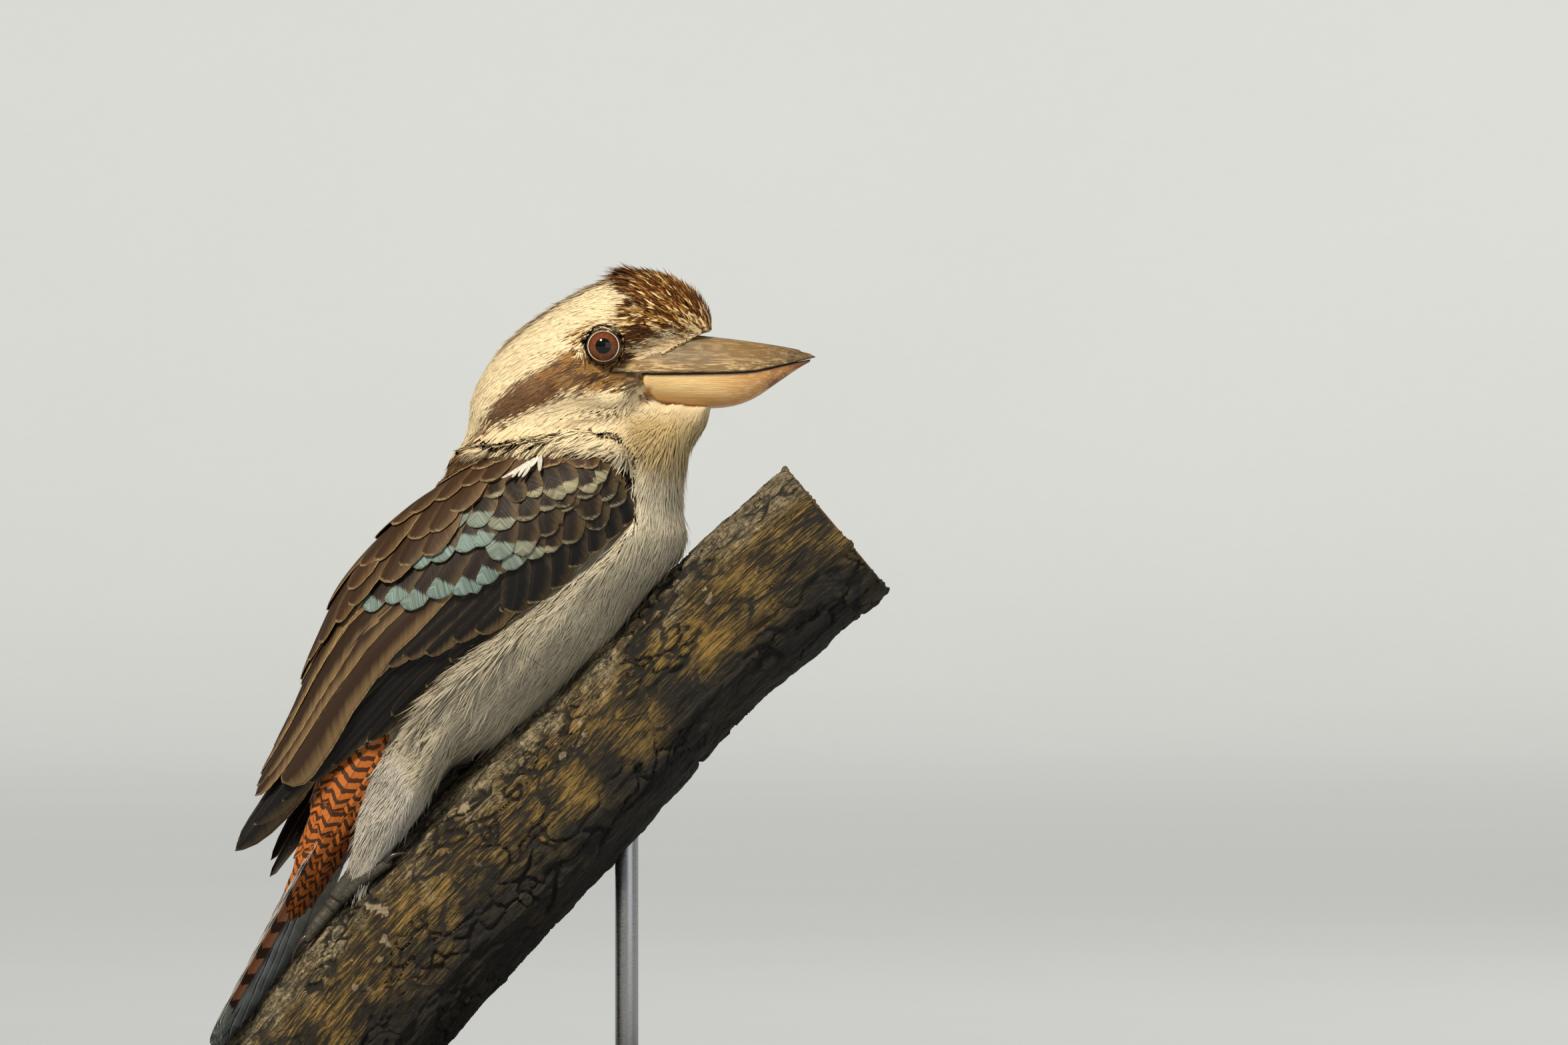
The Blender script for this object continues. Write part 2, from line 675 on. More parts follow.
FACE_FROM = 33.0
LOOSE = 0.05
BILL_ROOT = np.array([80.0, 0.0, 327.0])
HEAD_FLOW = np.array([0.0, 0.0, -0.4])
BODY_FLOW = np.array([-0.54, 0.0, -0.84])
LEG_FLOW = np.array([-0.38, 0.12, -0.9])


def lie(points, facing):
    """The way the coat lies at points with these normals."""
    away = unit(points - BILL_ROOT) + HEAD_FLOW
    head = soft_step(290, 306, points[:, 2])
    flow = blend(np.broadcast_to(BODY_FLOW, points.shape), away, head)
    back = soft_step(0, -40, points[:, 0]) * (1 - head)
    flow = blend(flow, np.broadcast_to(WING_WAY, points.shape), back)
    flow = blend(flow, np.broadcast_to(LEG_FLOW, points.shape), leg_share(points))
    flow = flow - facing * np.sum(flow * facing, axis=1, keepdims=True)
    return unit(flow)


AXIS = np.array([[82, 326], [24, 328], [6, 292], [-6, 250], [-42, 205], [-70, 158], [-96, 96]], float)
AXIS_ISLAND = 0.94
AXIS_MARGIN = 0.02


def unwrapped(points):
    """Places of points on an unwrap of the bird round the line from its bill to its rump."""
    flat = points[:, [0, 2]]
    starts, ends = AXIS[:-1], AXIS[1:]
    lengths = np.linalg.norm(ends - starts, axis=1)
    passed = np.concatenate([[0], np.cumsum(lengths)])
    best = np.full(len(points), np.inf)
    along = np.zeros(len(points))
    side = np.zeros(len(points))
    for start, end, length, before in zip(starts, ends, lengths, passed):
        way = (end - start) / length
        t = np.clip((flat - start) @ way, 0, length)
        off = flat - start - t[:, None] * way
        away = np.hypot(off[:, 0], off[:, 1])
        nearer = away < best
        best = np.where(nearer, away, best)
        along = np.where(nearer, before + t, along)
        side = np.where(nearer, off @ np.array([-way[1], way[0]]), side)
    angle = np.arctan2(points[:, 1], side)
    around = 0.5 + AXIS_ISLAND * angle / (2 * math.pi)
    return np.stack([around, AXIS_MARGIN + AXIS_ISLAND * along / passed[-1]], axis=1)


# Where the collar ends on the wing: places along the wing and degrees round the body.
COLLAR = ([-8, -5, 1, 17, 25, 35, 45, 60, 80], [5, 15, 25, 43, 49, 57, 66, 77, 90])
COLLAR_LIFT = 11.5
FRONT_LIFT = 4.0


def wing_place(points, side):
    """Wing coordinates of points: distance along the wing and angle round the body in degrees."""
    s = (points - BEND) @ WING_WAY
    w = (points - BEND) @ WING_UP
    mid, low, top, wide, thick = read_all(WING, s, "mid", "low", "top", "wide", "thick")
    past = np.clip((s - DROOP_FROM) / (WING["s"][-1] - DROOP_FROM), 0, None)
    rise = w + DROOP[side] * past**DROOP_POWER - mid
    axis = np.where(rise > 0, top - mid, low) - thick
    return s, np.degrees(np.arctan2(rise / axis, np.abs(points[:, 1]) / (wide - thick)))


def under_wing(points, margin=4.0):
    """True for points that a wing covers."""
    covered = np.zeros(len(points), bool)
    for side, sign in (("right", -1), ("left", 1)):
        s, phi = wing_place(points, side)
        inside = (s > -4) & (s < 225) & (phi > read(WING, s, "from") + margin)
        upper = np.minimum(read(WING, s, "to"), np.interp(s, *COLLAR)) - margin
        covered |= inside & (phi < upper) & (points[:, 1] * sign > 0)
        covered |= (s > 100) & (s < 225) & (phi > -16) & (phi < 70) & (points[:, 1] * sign > 0)
    return covered


def fill_shoulder(points):
    """Raises the skin round the front and the top of the folded wing, so that the collar lies on its rows."""
    raised = points.copy()
    for side, sign in (("right", -1), ("left", 1)):
        near = points[:, 1] * sign > 0
        s, degrees = wing_place(points, side)
        near &= (s > -13) & (s < 66) & (degrees > -16) & (degrees < 86) & (points[:, 2] > 240)
        s, degrees, own = s[near], degrees[near], points[near]
        floor = wing_point(side, s, np.radians(degrees), np.zeros(len(s)))
        way = wing_point(side, s, np.radians(degrees), np.ones(len(s))) - floor
        lift = np.sum((own - floor) * way, axis=1) / np.sum(way * way, axis=1)
        line = np.interp(s, *COLLAR)
        ends = soft_step(66, 42, s) * soft_step(-13, -8, s)
        rest = (3 + 2.5 * soft_step(30, 5, s)) * soft_step(0, 16, degrees - line)
        want = (COLLAR_LIFT + rest) * soft_step(-5, 4, degrees - line) * ends
        want = np.maximum(want, FRONT_LIFT * soft_step(-3, -8, s) * soft_step(-13, -9, s))
        rise = np.clip(want - lift, 0, None) * soft_step(0, 1, want)
        raised[near] = own + way * rise[:, None]
    return raised


def bill_side(x, z):
    """Half width of the bill at places of its side view."""
    mouth = read(BILL, x, "mouth")
    reach = np.where(z > mouth, read(BILL, x, "culmen") - mouth, mouth - read(BILL, x, "keel"))
    rise = np.clip(np.abs(z - mouth) / np.maximum(reach, 0.1), 0, 1) ** (1 / 0.92)
    return read(BILL, x, "wide") * (1 - rise**2) ** 0.4


CHEEK = {"x": 35.0, "z": 313.6, "long": 13.0, "high": 6.5, "rise": 1.7}
CREASE = [(48.5, 313), (42, 309.6), (33, 307.2), (24, 306.4), (14, 304.6)]
PERCHWARD = np.array([0.65, 0.0, -0.76])
CHIN = ([49, 55, 66, 80], [311.6, 309.8, 308.0, 307.2])
CHIN_RAISE = 3.4
FACE_TAPER = 15.0
NARROWEST = 0.62


def crease_depth(x, z):
    """How near places of the side view lie to the crease behind the mouth, from 0 to 1."""
    away = np.full(np.shape(x), np.inf)
    for start, end in zip(CREASE, CREASE[1:]):
        away = np.minimum(away, off_line(x, z, start, end))
    return np.exp(-((away / 1.5) ** 2)) * soft_step(12, 26, x)


def shape_face(points):
    """Draws the face in to the bill and gives it its cheek, crease and brow."""
    x, y, z = points.T
    inside = depth_in(FACE_EDGE, x, z)
    near = (x > 20) & (z > 296) & (z < 352)
    own = bill_side(x, z)
    target = np.maximum(own, NARROWEST * read(BILL, x, "wide")) + 0.7
    wide = np.abs(y)
    blend_in = soft_step(0, FACE_TAPER, -inside) ** 0.8
    drawn = np.where(wide > target, target + (wide - target) * blend_in, wide)
    drawn = np.where(inside > 0, np.minimum(drawn, np.maximum(own - 1.2 * np.minimum(inside, 1), 0)), drawn)
    wide = np.where(near, drawn, wide)
    side = soft_step(8, 18, wide)
    lobe = np.exp(-(((x - CHEEK["x"]) / CHEEK["long"]) ** 2) - ((z - CHEEK["z"]) / CHEEK["high"]) ** 2)
    wide = wide + side * (CHEEK["rise"] * lobe - 1.7 * crease_depth(x, z))
    brow = np.exp(-(((x - EYE["x"] + 1) / 9) ** 2) - ((z - EYE["z"] - 10) / 3.2) ** 2)
    socket = np.exp(-((np.hypot(x - EYE["x"], z - EYE["z"]) / 9.5) ** 4))
    wide = wide + side * (0.9 * brow - 0.5 * socket)
    return np.stack([x, np.sign(y) * wide, z], axis=1)


def bill_under(x, y):
    """Height of the bill's lower face at places seen from above."""
    across = np.clip(np.abs(y) / read(BILL, x, "wide"), 0, 1) ** 1.25
    mouth, keel = read(BILL, x, "mouth"), read(BILL, x, "keel")
    return mouth - (mouth - keel) * (1 - across**2) ** 0.46


def raise_chin(points):
    """Lifts the rim of the chin until it meets the underside of the bill."""
    x, y, z = points.T
    floor = np.interp(x, *CHIN)
    gap = np.clip(bill_under(x, y) + 0.8 - floor, 0, CHIN_RAISE)
    at_rim = soft_step(-6, -0.5, z - floor) * soft_step(6, 3, z - floor)
    z = z + gap * at_rim * soft_step(47, 51, x) * soft_step(84, 79, x)
    return np.stack([x, y, z], axis=1)


def make_skin(coat):
    """One skin from the flesh solids, remeshed and drawn in by the coat's depth."""
    skin = copy_of_nodes("skin", "head", "neck", "torso", "leg_right", "leg_left")
    add_modifier(skin, "DISPLACE", strength=0.0004, mid_level=0.0)
    add_modifier(skin, "REMESH", mode="VOXEL", voxel_size=coat.voxel, use_smooth_shade=True)
    set_positions(skin.data, shape_face(positions(skin.data)))
    add_modifier(skin, "SMOOTH", factor=0.6, iterations=7)
    points, facing = positions(skin.data), normals(skin.data)
    face = soft_step(290, 310, points[:, 2]) * soft_step(20, 60, points[:, 0])
    toward_perch = soft_step(0.2, 0.7, facing @ PERCHWARD) * soft_step(235, 210, points[:, 2])
    depth = coat.depth / MM * (1 + 0.2 * soft_step(300, 270, points[:, 2]) - 0.6 * face - 1.9 * toward_perch)
    depth = depth * (1 - 0.5 * leg_share(points))
    set_positions(skin.data, fill_shoulder(raise_chin(points - facing * (depth + 0.3)[:, None])))
    add_modifier(skin, "SMOOTH", factor=0.5, iterations=2)
    return skin


def scattered(skin, seed, density):
    """Seeded places over the skin: points, normals, from density(points, normals) in tufts per square mm."""
    mesh = skin.data
    mesh.calc_loop_triangles()
    corners = np.empty(len(mesh.loop_triangles) * 3, np.int32)
    mesh.loop_triangles.foreach_get("vertices", corners)
    corners = corners.reshape(-1, 3)
    points, facing = positions(mesh), normals(mesh)
    a, b, c = (points[corners[:, k]] for k in range(3))
    area = np.linalg.norm(np.cross(b - a, c - a), axis=1) / 2
    middle = (a + b + c) / 3
    wanted = area * density(middle, unit(facing[corners].sum(axis=1)))
    draw = np.random.default_rng(seed)
    counts = np.floor(wanted + draw.random(len(wanted))).astype(int)
    picked = np.repeat(np.arange(len(counts)), counts)
    u, v = draw.random(len(picked)), draw.random(len(picked))
    over = u + v > 1
    u, v = np.where(over, 1 - u, u), np.where(over, 1 - v, v)
    weights = np.stack([1 - u - v, u, v], axis=1)[:, :, None]
    roots = (points[corners[picked]] * weights).sum(axis=1)
    return roots, unit((facing[corners[picked]] * weights).sum(axis=1))


# A tuft's rings from root to tip: share of its length and of its width. A point closes it.
LOCK = [(0.0, 0.5), (0.38, 1.0), (0.78, 0.62)]
LEAF = [(0.0, 0.35), (0.25, 0.8), (0.55, 1.0), (0.8, 0.86), (0.94, 0.5)]
# Outline of a ring: places across and above it, as shares of its width and thickness.
THREE_SIDED = [(-1.0, 0.0), (0.0, 1.0), (1.0, 0.0)]
FLAT_SIDED = [(-1.0, 0.0), (-0.8, 0.45), (0.0, 1.0), (0.8, 0.45), (1.0, 0.0), (0.0, -0.5)]
PATCH = 0.003
ROOT_SHADE = (0.05, 0.09, 0.16)
ROUNDED = 0.3
SUNK = 0.35


def combed(skin, roots, flow, long, shares, cling):
    """Places and outward ways along each tuft. It follows the skin where cling is 1 and is straight at 0."""
    tree, corners, facing = skin
    places, ways = [], []
    at, way, before = roots, flow, 0.0
    for share in shares:
        found = [tree.find_nearest(Vector(p)) for p in at + way * (long * (share - before))[:, None]]
        at = np.array([tuple(hit[0]) for hit in found])
        up = unit(facing[corners[[hit[2] for hit in found]]].sum(axis=1))
        way = unit(way - up * np.sum(way * up, axis=1, keepdims=True))
        before = share
        first = up if share == shares[0] else first
        off = roots + flow * (long * share)[:, None] - at
        inward = np.minimum(np.sum(off * up, axis=1, keepdims=True), 0) * up
        places.append(at + (off - inward) * (1 - cling)[:, None])
        ways.append(unit(blend(first, up, np.clip(cling, 0, 1))))
    return np.stack(places, axis=1), np.stack(ways, axis=1)


def tufts(name, skin, roots, flow, long, wide, high, lift, sway, cling, tones, tip_tones, rings, outline):
    """A mesh of closed tapered tufts that lie over the skin. Sizes are arrays, one for each tuft."""
    count, sides = len(roots), len(outline)
    shares = np.array([share for share, _ in rings] + [1.0])
    centres, ups = combed(skin, roots, flow, long, shares, cling)
    across = unit(np.cross(ups, flow[:, None]))
    centres = centres + ups * (lift[:, None] * shares**1.3 - SUNK * (1 - shares) ** 3)[..., None]
    centres = centres + across * (sway[:, None] * shares**2)[..., None]
    size = len(rings) * sides + 1
    points, shading, tone = (np.empty((count, size, 3)) for _ in range(3))
    places = np.empty((count, size, 2))
    spots = unwrapped(roots)
    for r, (share, width) in enumerate(rings):
        for k, (out, up) in enumerate(outline):
            at = r * sides + k
            aside = across[:, r] * (out * width * wide)[:, None]
            points[:, at] = centres[:, r] + aside + ups[:, r] * (up * width * high)[:, None]
            shading[:, at] = unit(ups[:, r] + across[:, r] * out * ROUNDED)
            if sides == 3:
                tone[:, at] = tones * (1 - np.array(ROOT_SHADE) * (1 - share))
            else:
                rim = 0.7 * share * (abs(out) > 0.9) + 0.1 * share
                tone[:, at] = blend(tones, tip_tones, np.full(count, rim))
            places[:, at] = spots + PATCH * np.array([0.5 * out, share - 0.5])
    points[:, -1], shading[:, -1], tone[:, -1] = centres[:, -1], ups[:, -1], tip_tones
    places[:, -1] = spots + PATCH * np.array([0.0, 0.5])
    quads, triangles = [], []
    for r in range(len(rings) - 1):
        for k in range(sides):
            n = (k + 1) % sides
            quads.append((r * sides + n, r * sides + k, (r + 1) * sides + k, (r + 1) * sides + n))
    last, tip = (len(rings) - 1) * sides, len(rings) * sides
    for k in range(sides):
        triangles.append((last + (k + 1) % sides, last + k, tip))
    for k in range(1, sides - 1):
        triangles.append((0, k, k + 1))
    faces = repeated(quads, count, size), repeated(triangles, count, size)
    piece = from_arrays(name, points.reshape(-1, 3), *faces)
    piece.data.normals_split_custom_set_from_vertices(shading.reshape(-1, 3))
    paint(piece.data, "Coat", tone.reshape(-1, 3))
    map_points(piece.data, "OFBake", places.reshape(-1, 2))
    return piece


EYE_CLEAR = 6.8
EYE_OUT = 15.0


def clear_of_eyes(roots, flow, long):
    """Shortens tufts that would grow over an eye and drops those rooted on it."""
    rel = roots[:, [0, 2]] - np.array([EYE["x"], EYE["z"]])
    way = flow[:, [0, 2]]
    size = np.maximum(np.linalg.norm(way, axis=1), 1e-6)
    toward = -(rel * way).sum(axis=1) / size
    away = np.linalg.norm(rel, axis=1)
    miss = np.sqrt(np.maximum(away**2 - toward**2, 0))
    enter = (toward - np.sqrt(np.maximum(EYE_CLEAR**2 - miss**2, 0))) / size
    hits = (miss < EYE_CLEAR) & (toward > 0) & (enter < long) & (np.abs(roots[:, 1]) > EYE_OUT)
    long = np.where(hits, np.maximum(enter, 0), long)
    keep = ((away > EYE_CLEAR) | (np.abs(roots[:, 1]) < EYE_OUT)) & (long > 1.2)
    return keep, long


def grow(part, coat, surface, material, roots, facing, seed, slot):
    """Tufts of the pale parts and the head, with sizes by region."""
    draw = np.random.default_rng(seed)
    x, y, z = roots.T
    count = len(roots)
    face = soft_step(34, 62, x) * soft_step(300, 310, z)
    crown = soft_step(-1, 4, depth_in(CROWN, x, z)) * soft_step(340, 352, z)
    ridge = soft_step(7, 3, np.abs(y)) * soft_step(330, 345, z) * (x < 50)
    throat = soft_step(308, 300, z) * soft_step(40, 58, x) * soft_step(272, 288, z)
    belly = soft_step(285, 262, z)
    hem = belly * soft_step(26, 10, np.hypot(x + 18, z - 178)) * (np.abs(y) < 40)
    leg = leg_share(roots)
    cuff = leg * soft_step(136, 116, z)
    jitter = lambda spread: draw.normal(0, spread, count)
    long = 9.6 - 5.6 * face + 3.4 * crown + 1.6 * ridge + 7.5 * throat + 4.0 * belly + 6 * hem
    long = (long * (1 - leg) + (10 + 5 * cuff) * leg) * np.clip(1 + jitter(0.2), 0.5, 1.6)
    wide = 0.46 - 0.14 * face + 0.3 * crown - 0.1 * throat - 0.08 * belly - 0.1 * leg
    wide = wide * np.clip(1 + jitter(0.2), 0.5, 1.6)
    high = 0.13 + 0.05 * belly + 0.1 * crown
    lift = 0.35 - 0.15 * face + 1.6 * crown + 0.9 * ridge + 1.3 * throat + 0.4 * belly + 0.3 * leg
    lift = lift + np.abs(jitter(0.2)) * (0.6 + 1.0 * belly + 5 * crown + 2 * throat + 3.5 * ridge)
    rump = soft_step(-40, -52, x) * (1 - leg)
    loose = (draw.random(count) < LOOSE) * (belly + 0.6 * throat) * (1 - rump)
    lift = lift * (1 - 0.5 * rump)
    long = long * (1 - 0.5 * rump) + 6 * cuff
    lift = lift + 2.2 * loose
    wide = wide * (1 - 0.4 * loose)
    flow = lie(roots, facing)
    over_mantle = depth_in(MANTLE, x, z)
    above = (over_mantle > -9) & (over_mantle < 0.5) & (x < 40)
    at_wing = (under_wing(roots + flow * 10, 2.0) & (z > 255)) | above
    lift = lift + at_wing * (0.9 + np.abs(jitter(0.5)))
    long = long * (1 + 0.5 * at_wing)
    beside = under_wing(roots, -7.0) & (z < 255)
    lift = np.where(beside, 0.25, lift)
    cling = 1 - 0.2 * belly - 0.5 * throat - 0.2 * crown - 0.3 * ridge - hem - leg * 0.4 - cuff
    cling = np.clip(cling - (0.9 - 0.5 * above) * at_wing + rump + beside, 0, 1)
    sway = jitter(0.3) + jitter(0.9) * (belly + 0.6 * throat + 0.3 * crown)
    turn = jitter(0.10) + jitter(0.12) * np.maximum(belly * (1 - leg), crown)
    turn = (turn + 0.24 * noise_at(roots, 14.0, 5) * (0.3 + 0.7 * belly)) * (1 - 0.5 * leg)
    side = np.cross(facing, flow)
    flow = unit(flow * np.cos(turn)[:, None] + side * np.sin(turn)[:, None])
    keep, long = clear_of_eyes(roots, flow, long)
    tones = plumage(roots, coat, seed, True)
    given = (roots, flow, long, wide, high, lift, sway, cling, tones, tones * 1.04)
    piece = tufts(part, surface, *(values[keep] for values in given), LOCK, THREE_SIDED)
    finish_piece(piece, material, slot)


def head_coat(coat, skin, surface, material):
    def density(at, facing):
        x, _, z = at.T
        face = soft_step(36, 66, x) * soft_step(300, 312, z)
        to_edge = depth_in(FACE_EDGE, x, z)
        folded = (facing[:, 0] > 0.5) | (facing[:, 2] < -0.15)
        bare = (to_edge > -0.4) | ((to_edge > -4) & folded & (z > 326))
        return coat.density * np.where(z > 301, 0.95 + 1.0 * face, 0) * ~bare

    for part, seed, sign, front in (
        ("face_coat_right", 31, -1, True), ("face_coat_left", 32, 1, True),
        ("nape_coat_right", 33, -1, False), ("nape_coat_left", 34, 1, False),
    ):
        roots, facing = scattered(skin, seed, density)
        own = (roots[:, 1] * sign >= 0) & ((roots[:, 0] > FACE_FROM) == front)
        grow(part, coat, surface, material, roots[own], facing[own], seed, "cream_feather")


def body_coat(coat, skin, surface, material):
    def density(at, facing):
        leg = leg_share(at)
        base = 0.85 + 0.5 * leg + 0.2 * soft_step(285, 300, at[:, 2])
        brown = soft_step(0, 4, depth_in(MANTLE, at[:, 0], at[:, 2]))
        under_leg = (leg > 0.5) & (at[:, 2] < 132) & (facing[:, 2] < -0.4)
        return coat.density * base * (at[:, 2] <= 301) * ~under_wing(at) * (1 - brown) * ~under_leg

    roots, facing = scattered(skin, 41, density)
    sections = {
        "collar_coat": roots[:, 2] > 272,
        "breast_coat": (roots[:, 2] <= 272) & (roots[:, 2] > 215),
        "belly_coat": (roots[:, 2] <= 215) & (leg_share(roots) < 0.5),
        "leg_coat": (roots[:, 2] <= 215) & (leg_share(roots) >= 0.5),
    }
    for seed, (part, own) in enumerate(sections.items()):
        grow(part, coat, surface, material, roots[own], facing[own], 51 + seed, "breast_feather")


def mantle_coat(coat, skin, surface, material):
    """Broad scaled feathers of the back between the wings."""
    def density(at, facing):
        brown = soft_step(-2, 1, depth_in(MANTLE, at[:, 0], at[:, 2]))
        return 0.1 * brown * ~under_wing(at, 14.0)

    roots, facing = scattered(skin, 61, density)
    draw = np.random.default_rng(62)
    count = len(roots)
    order = np.argsort(-roots[:, 2])
    roots, facing = roots[order], facing[order]
    flow = lie(roots, facing)
    long = 11 * np.clip(1 + draw.normal(0, 0.12, count), 0.6, 1.4)
    wide = 3.0 * np.clip(1 + draw.normal(0, 0.1, count), 0.6, 1.4)
    lift = 1.2 + np.abs(draw.normal(0, 0.3, count))
    tones = plumage(roots, coat, 63, True)
    edge = np.broadcast_to(np.array(coat.fringe), tones.shape)
    piece = tufts("mantle_feathers", surface, roots, flow, long, wide, np.full(count, 0.5), lift,
                  draw.normal(0, 0.6, count), np.ones(count), tones, edge, LEAF, FLAT_SIDED)
    finish_piece(piece, material, "wing_feather")


class KOOKABURRA_OT_coat(bpy.types.Operator):
    """Make the skin and the small feathers of the head, neck, body and legs"""

    bl_idname = "kookaburra.coat"
    bl_label = "Coat"

    def execute(self, context):
        coat = context.scene.kookaburra_coat
        skin = make_skin(coat)
        points = positions(skin.data)
        paint(skin.data, "Coat", plumage(points, coat, 3, False) * 0.96)
        map_points(skin.data, "OFBake", unwrapped(points))
        material, _ = mottled(
            "plumage", "Coat", 90.0, 1400.0, 0.16, (0.35, 0.0004), roughness=0.7, Specular_IOR_Level=0.16
        )
        finish_piece(skin, material, "cream_feather", "head", "neck", "torso", "leg_right", "leg_left")
        mesh = skin.data
        mesh.calc_loop_triangles()
        corners = [tuple(t.vertices) for t in mesh.loop_triangles]
        tree = BVHTree.FromPolygons([Vector(p) for p in points], corners)
        surface = (tree, np.array(corners), normals(skin.data))
        head_coat(coat, skin, surface, material)
        body_coat(coat, skin, surface, material)
        mantle_coat(coat, skin, surface, material)
        return {"FINISHED"}


# Feather vanes
def wing_point(side, s, phi, lift):
    """A point of the closed wing: along it, round the body in radians, and lift above its inner face."""
    top, mid, wide, low, thick = read_all(WING, s, "top", "mid", "wide", "low", "thick")
    axis = np.where(phi > 0, top - mid, low) - thick + lift
    past = np.clip((s - DROOP_FROM) / (WING["s"][-1] - DROOP_FROM), 0, None)
    w = mid + axis * np.sin(phi) - DROOP[side] * past**DROOP_POWER
    y = (wide - thick + lift) * np.cos(phi)
    points = BEND + WING_WAY * s[..., None] + WING_UP * w[..., None]
    points[..., 1] = y * (-1 if side == "right" else 1)
    return points


def phi_at(s, w, lift):
    """The angle round the body, in degrees, of a place at height w in the side view of the wing."""
    top, mid, low, thick = read_all(WING, s, "top", "mid", "low", "thick")
    axis = np.where(w > mid, top - mid, low) - thick + lift
    return np.degrees(np.arcsin(np.clip((w - mid) / axis, -0.97, 0.97)))


def edge_drop(s, phi):
    """How far the rows keep their lift: they come down on the body at the wing's front and upper edge."""
    front = np.sqrt(np.clip((s + 9) / 12, 0.03, 1))
    above = np.radians(read(WING, s, "to")) + 0.1 - phi
    behind_neck = soft_step(30, 60, s)
    return front * (1 - 0.7 * behind_neck * (1 - np.sqrt(np.clip(above / 0.3, 0, 1))))


COLUMNS = np.array([-1, -0.86, -0.5, -0.1, 0, 0.1, 0.5, 0.86, 1.0])
VANE_MIDDLE = 0.34
VANE_EDGE = 0.12
SHAFT = 0.2
ATLAS_COLUMNS = 12
MAP_MM = 200.0
BARB_SHADE = (0.004, 0.003, 0.002)
SHAFT_TONE = (0.018, 0.012, 0.008)
WORN_TONE = (0.055, 0.06, 0.05)


def vane_width(t, tip_from, power, base):
    """Half width along a vane as a share of its greatest, with a rounded tip."""
    grow = base + (1 - base) * soft_step(0, 0.35, t)
    past = np.clip((t - tip_from) / (1 - tip_from), 0, 1)
    return grow * np.maximum(1 - past**power, 0) ** (1 / power)


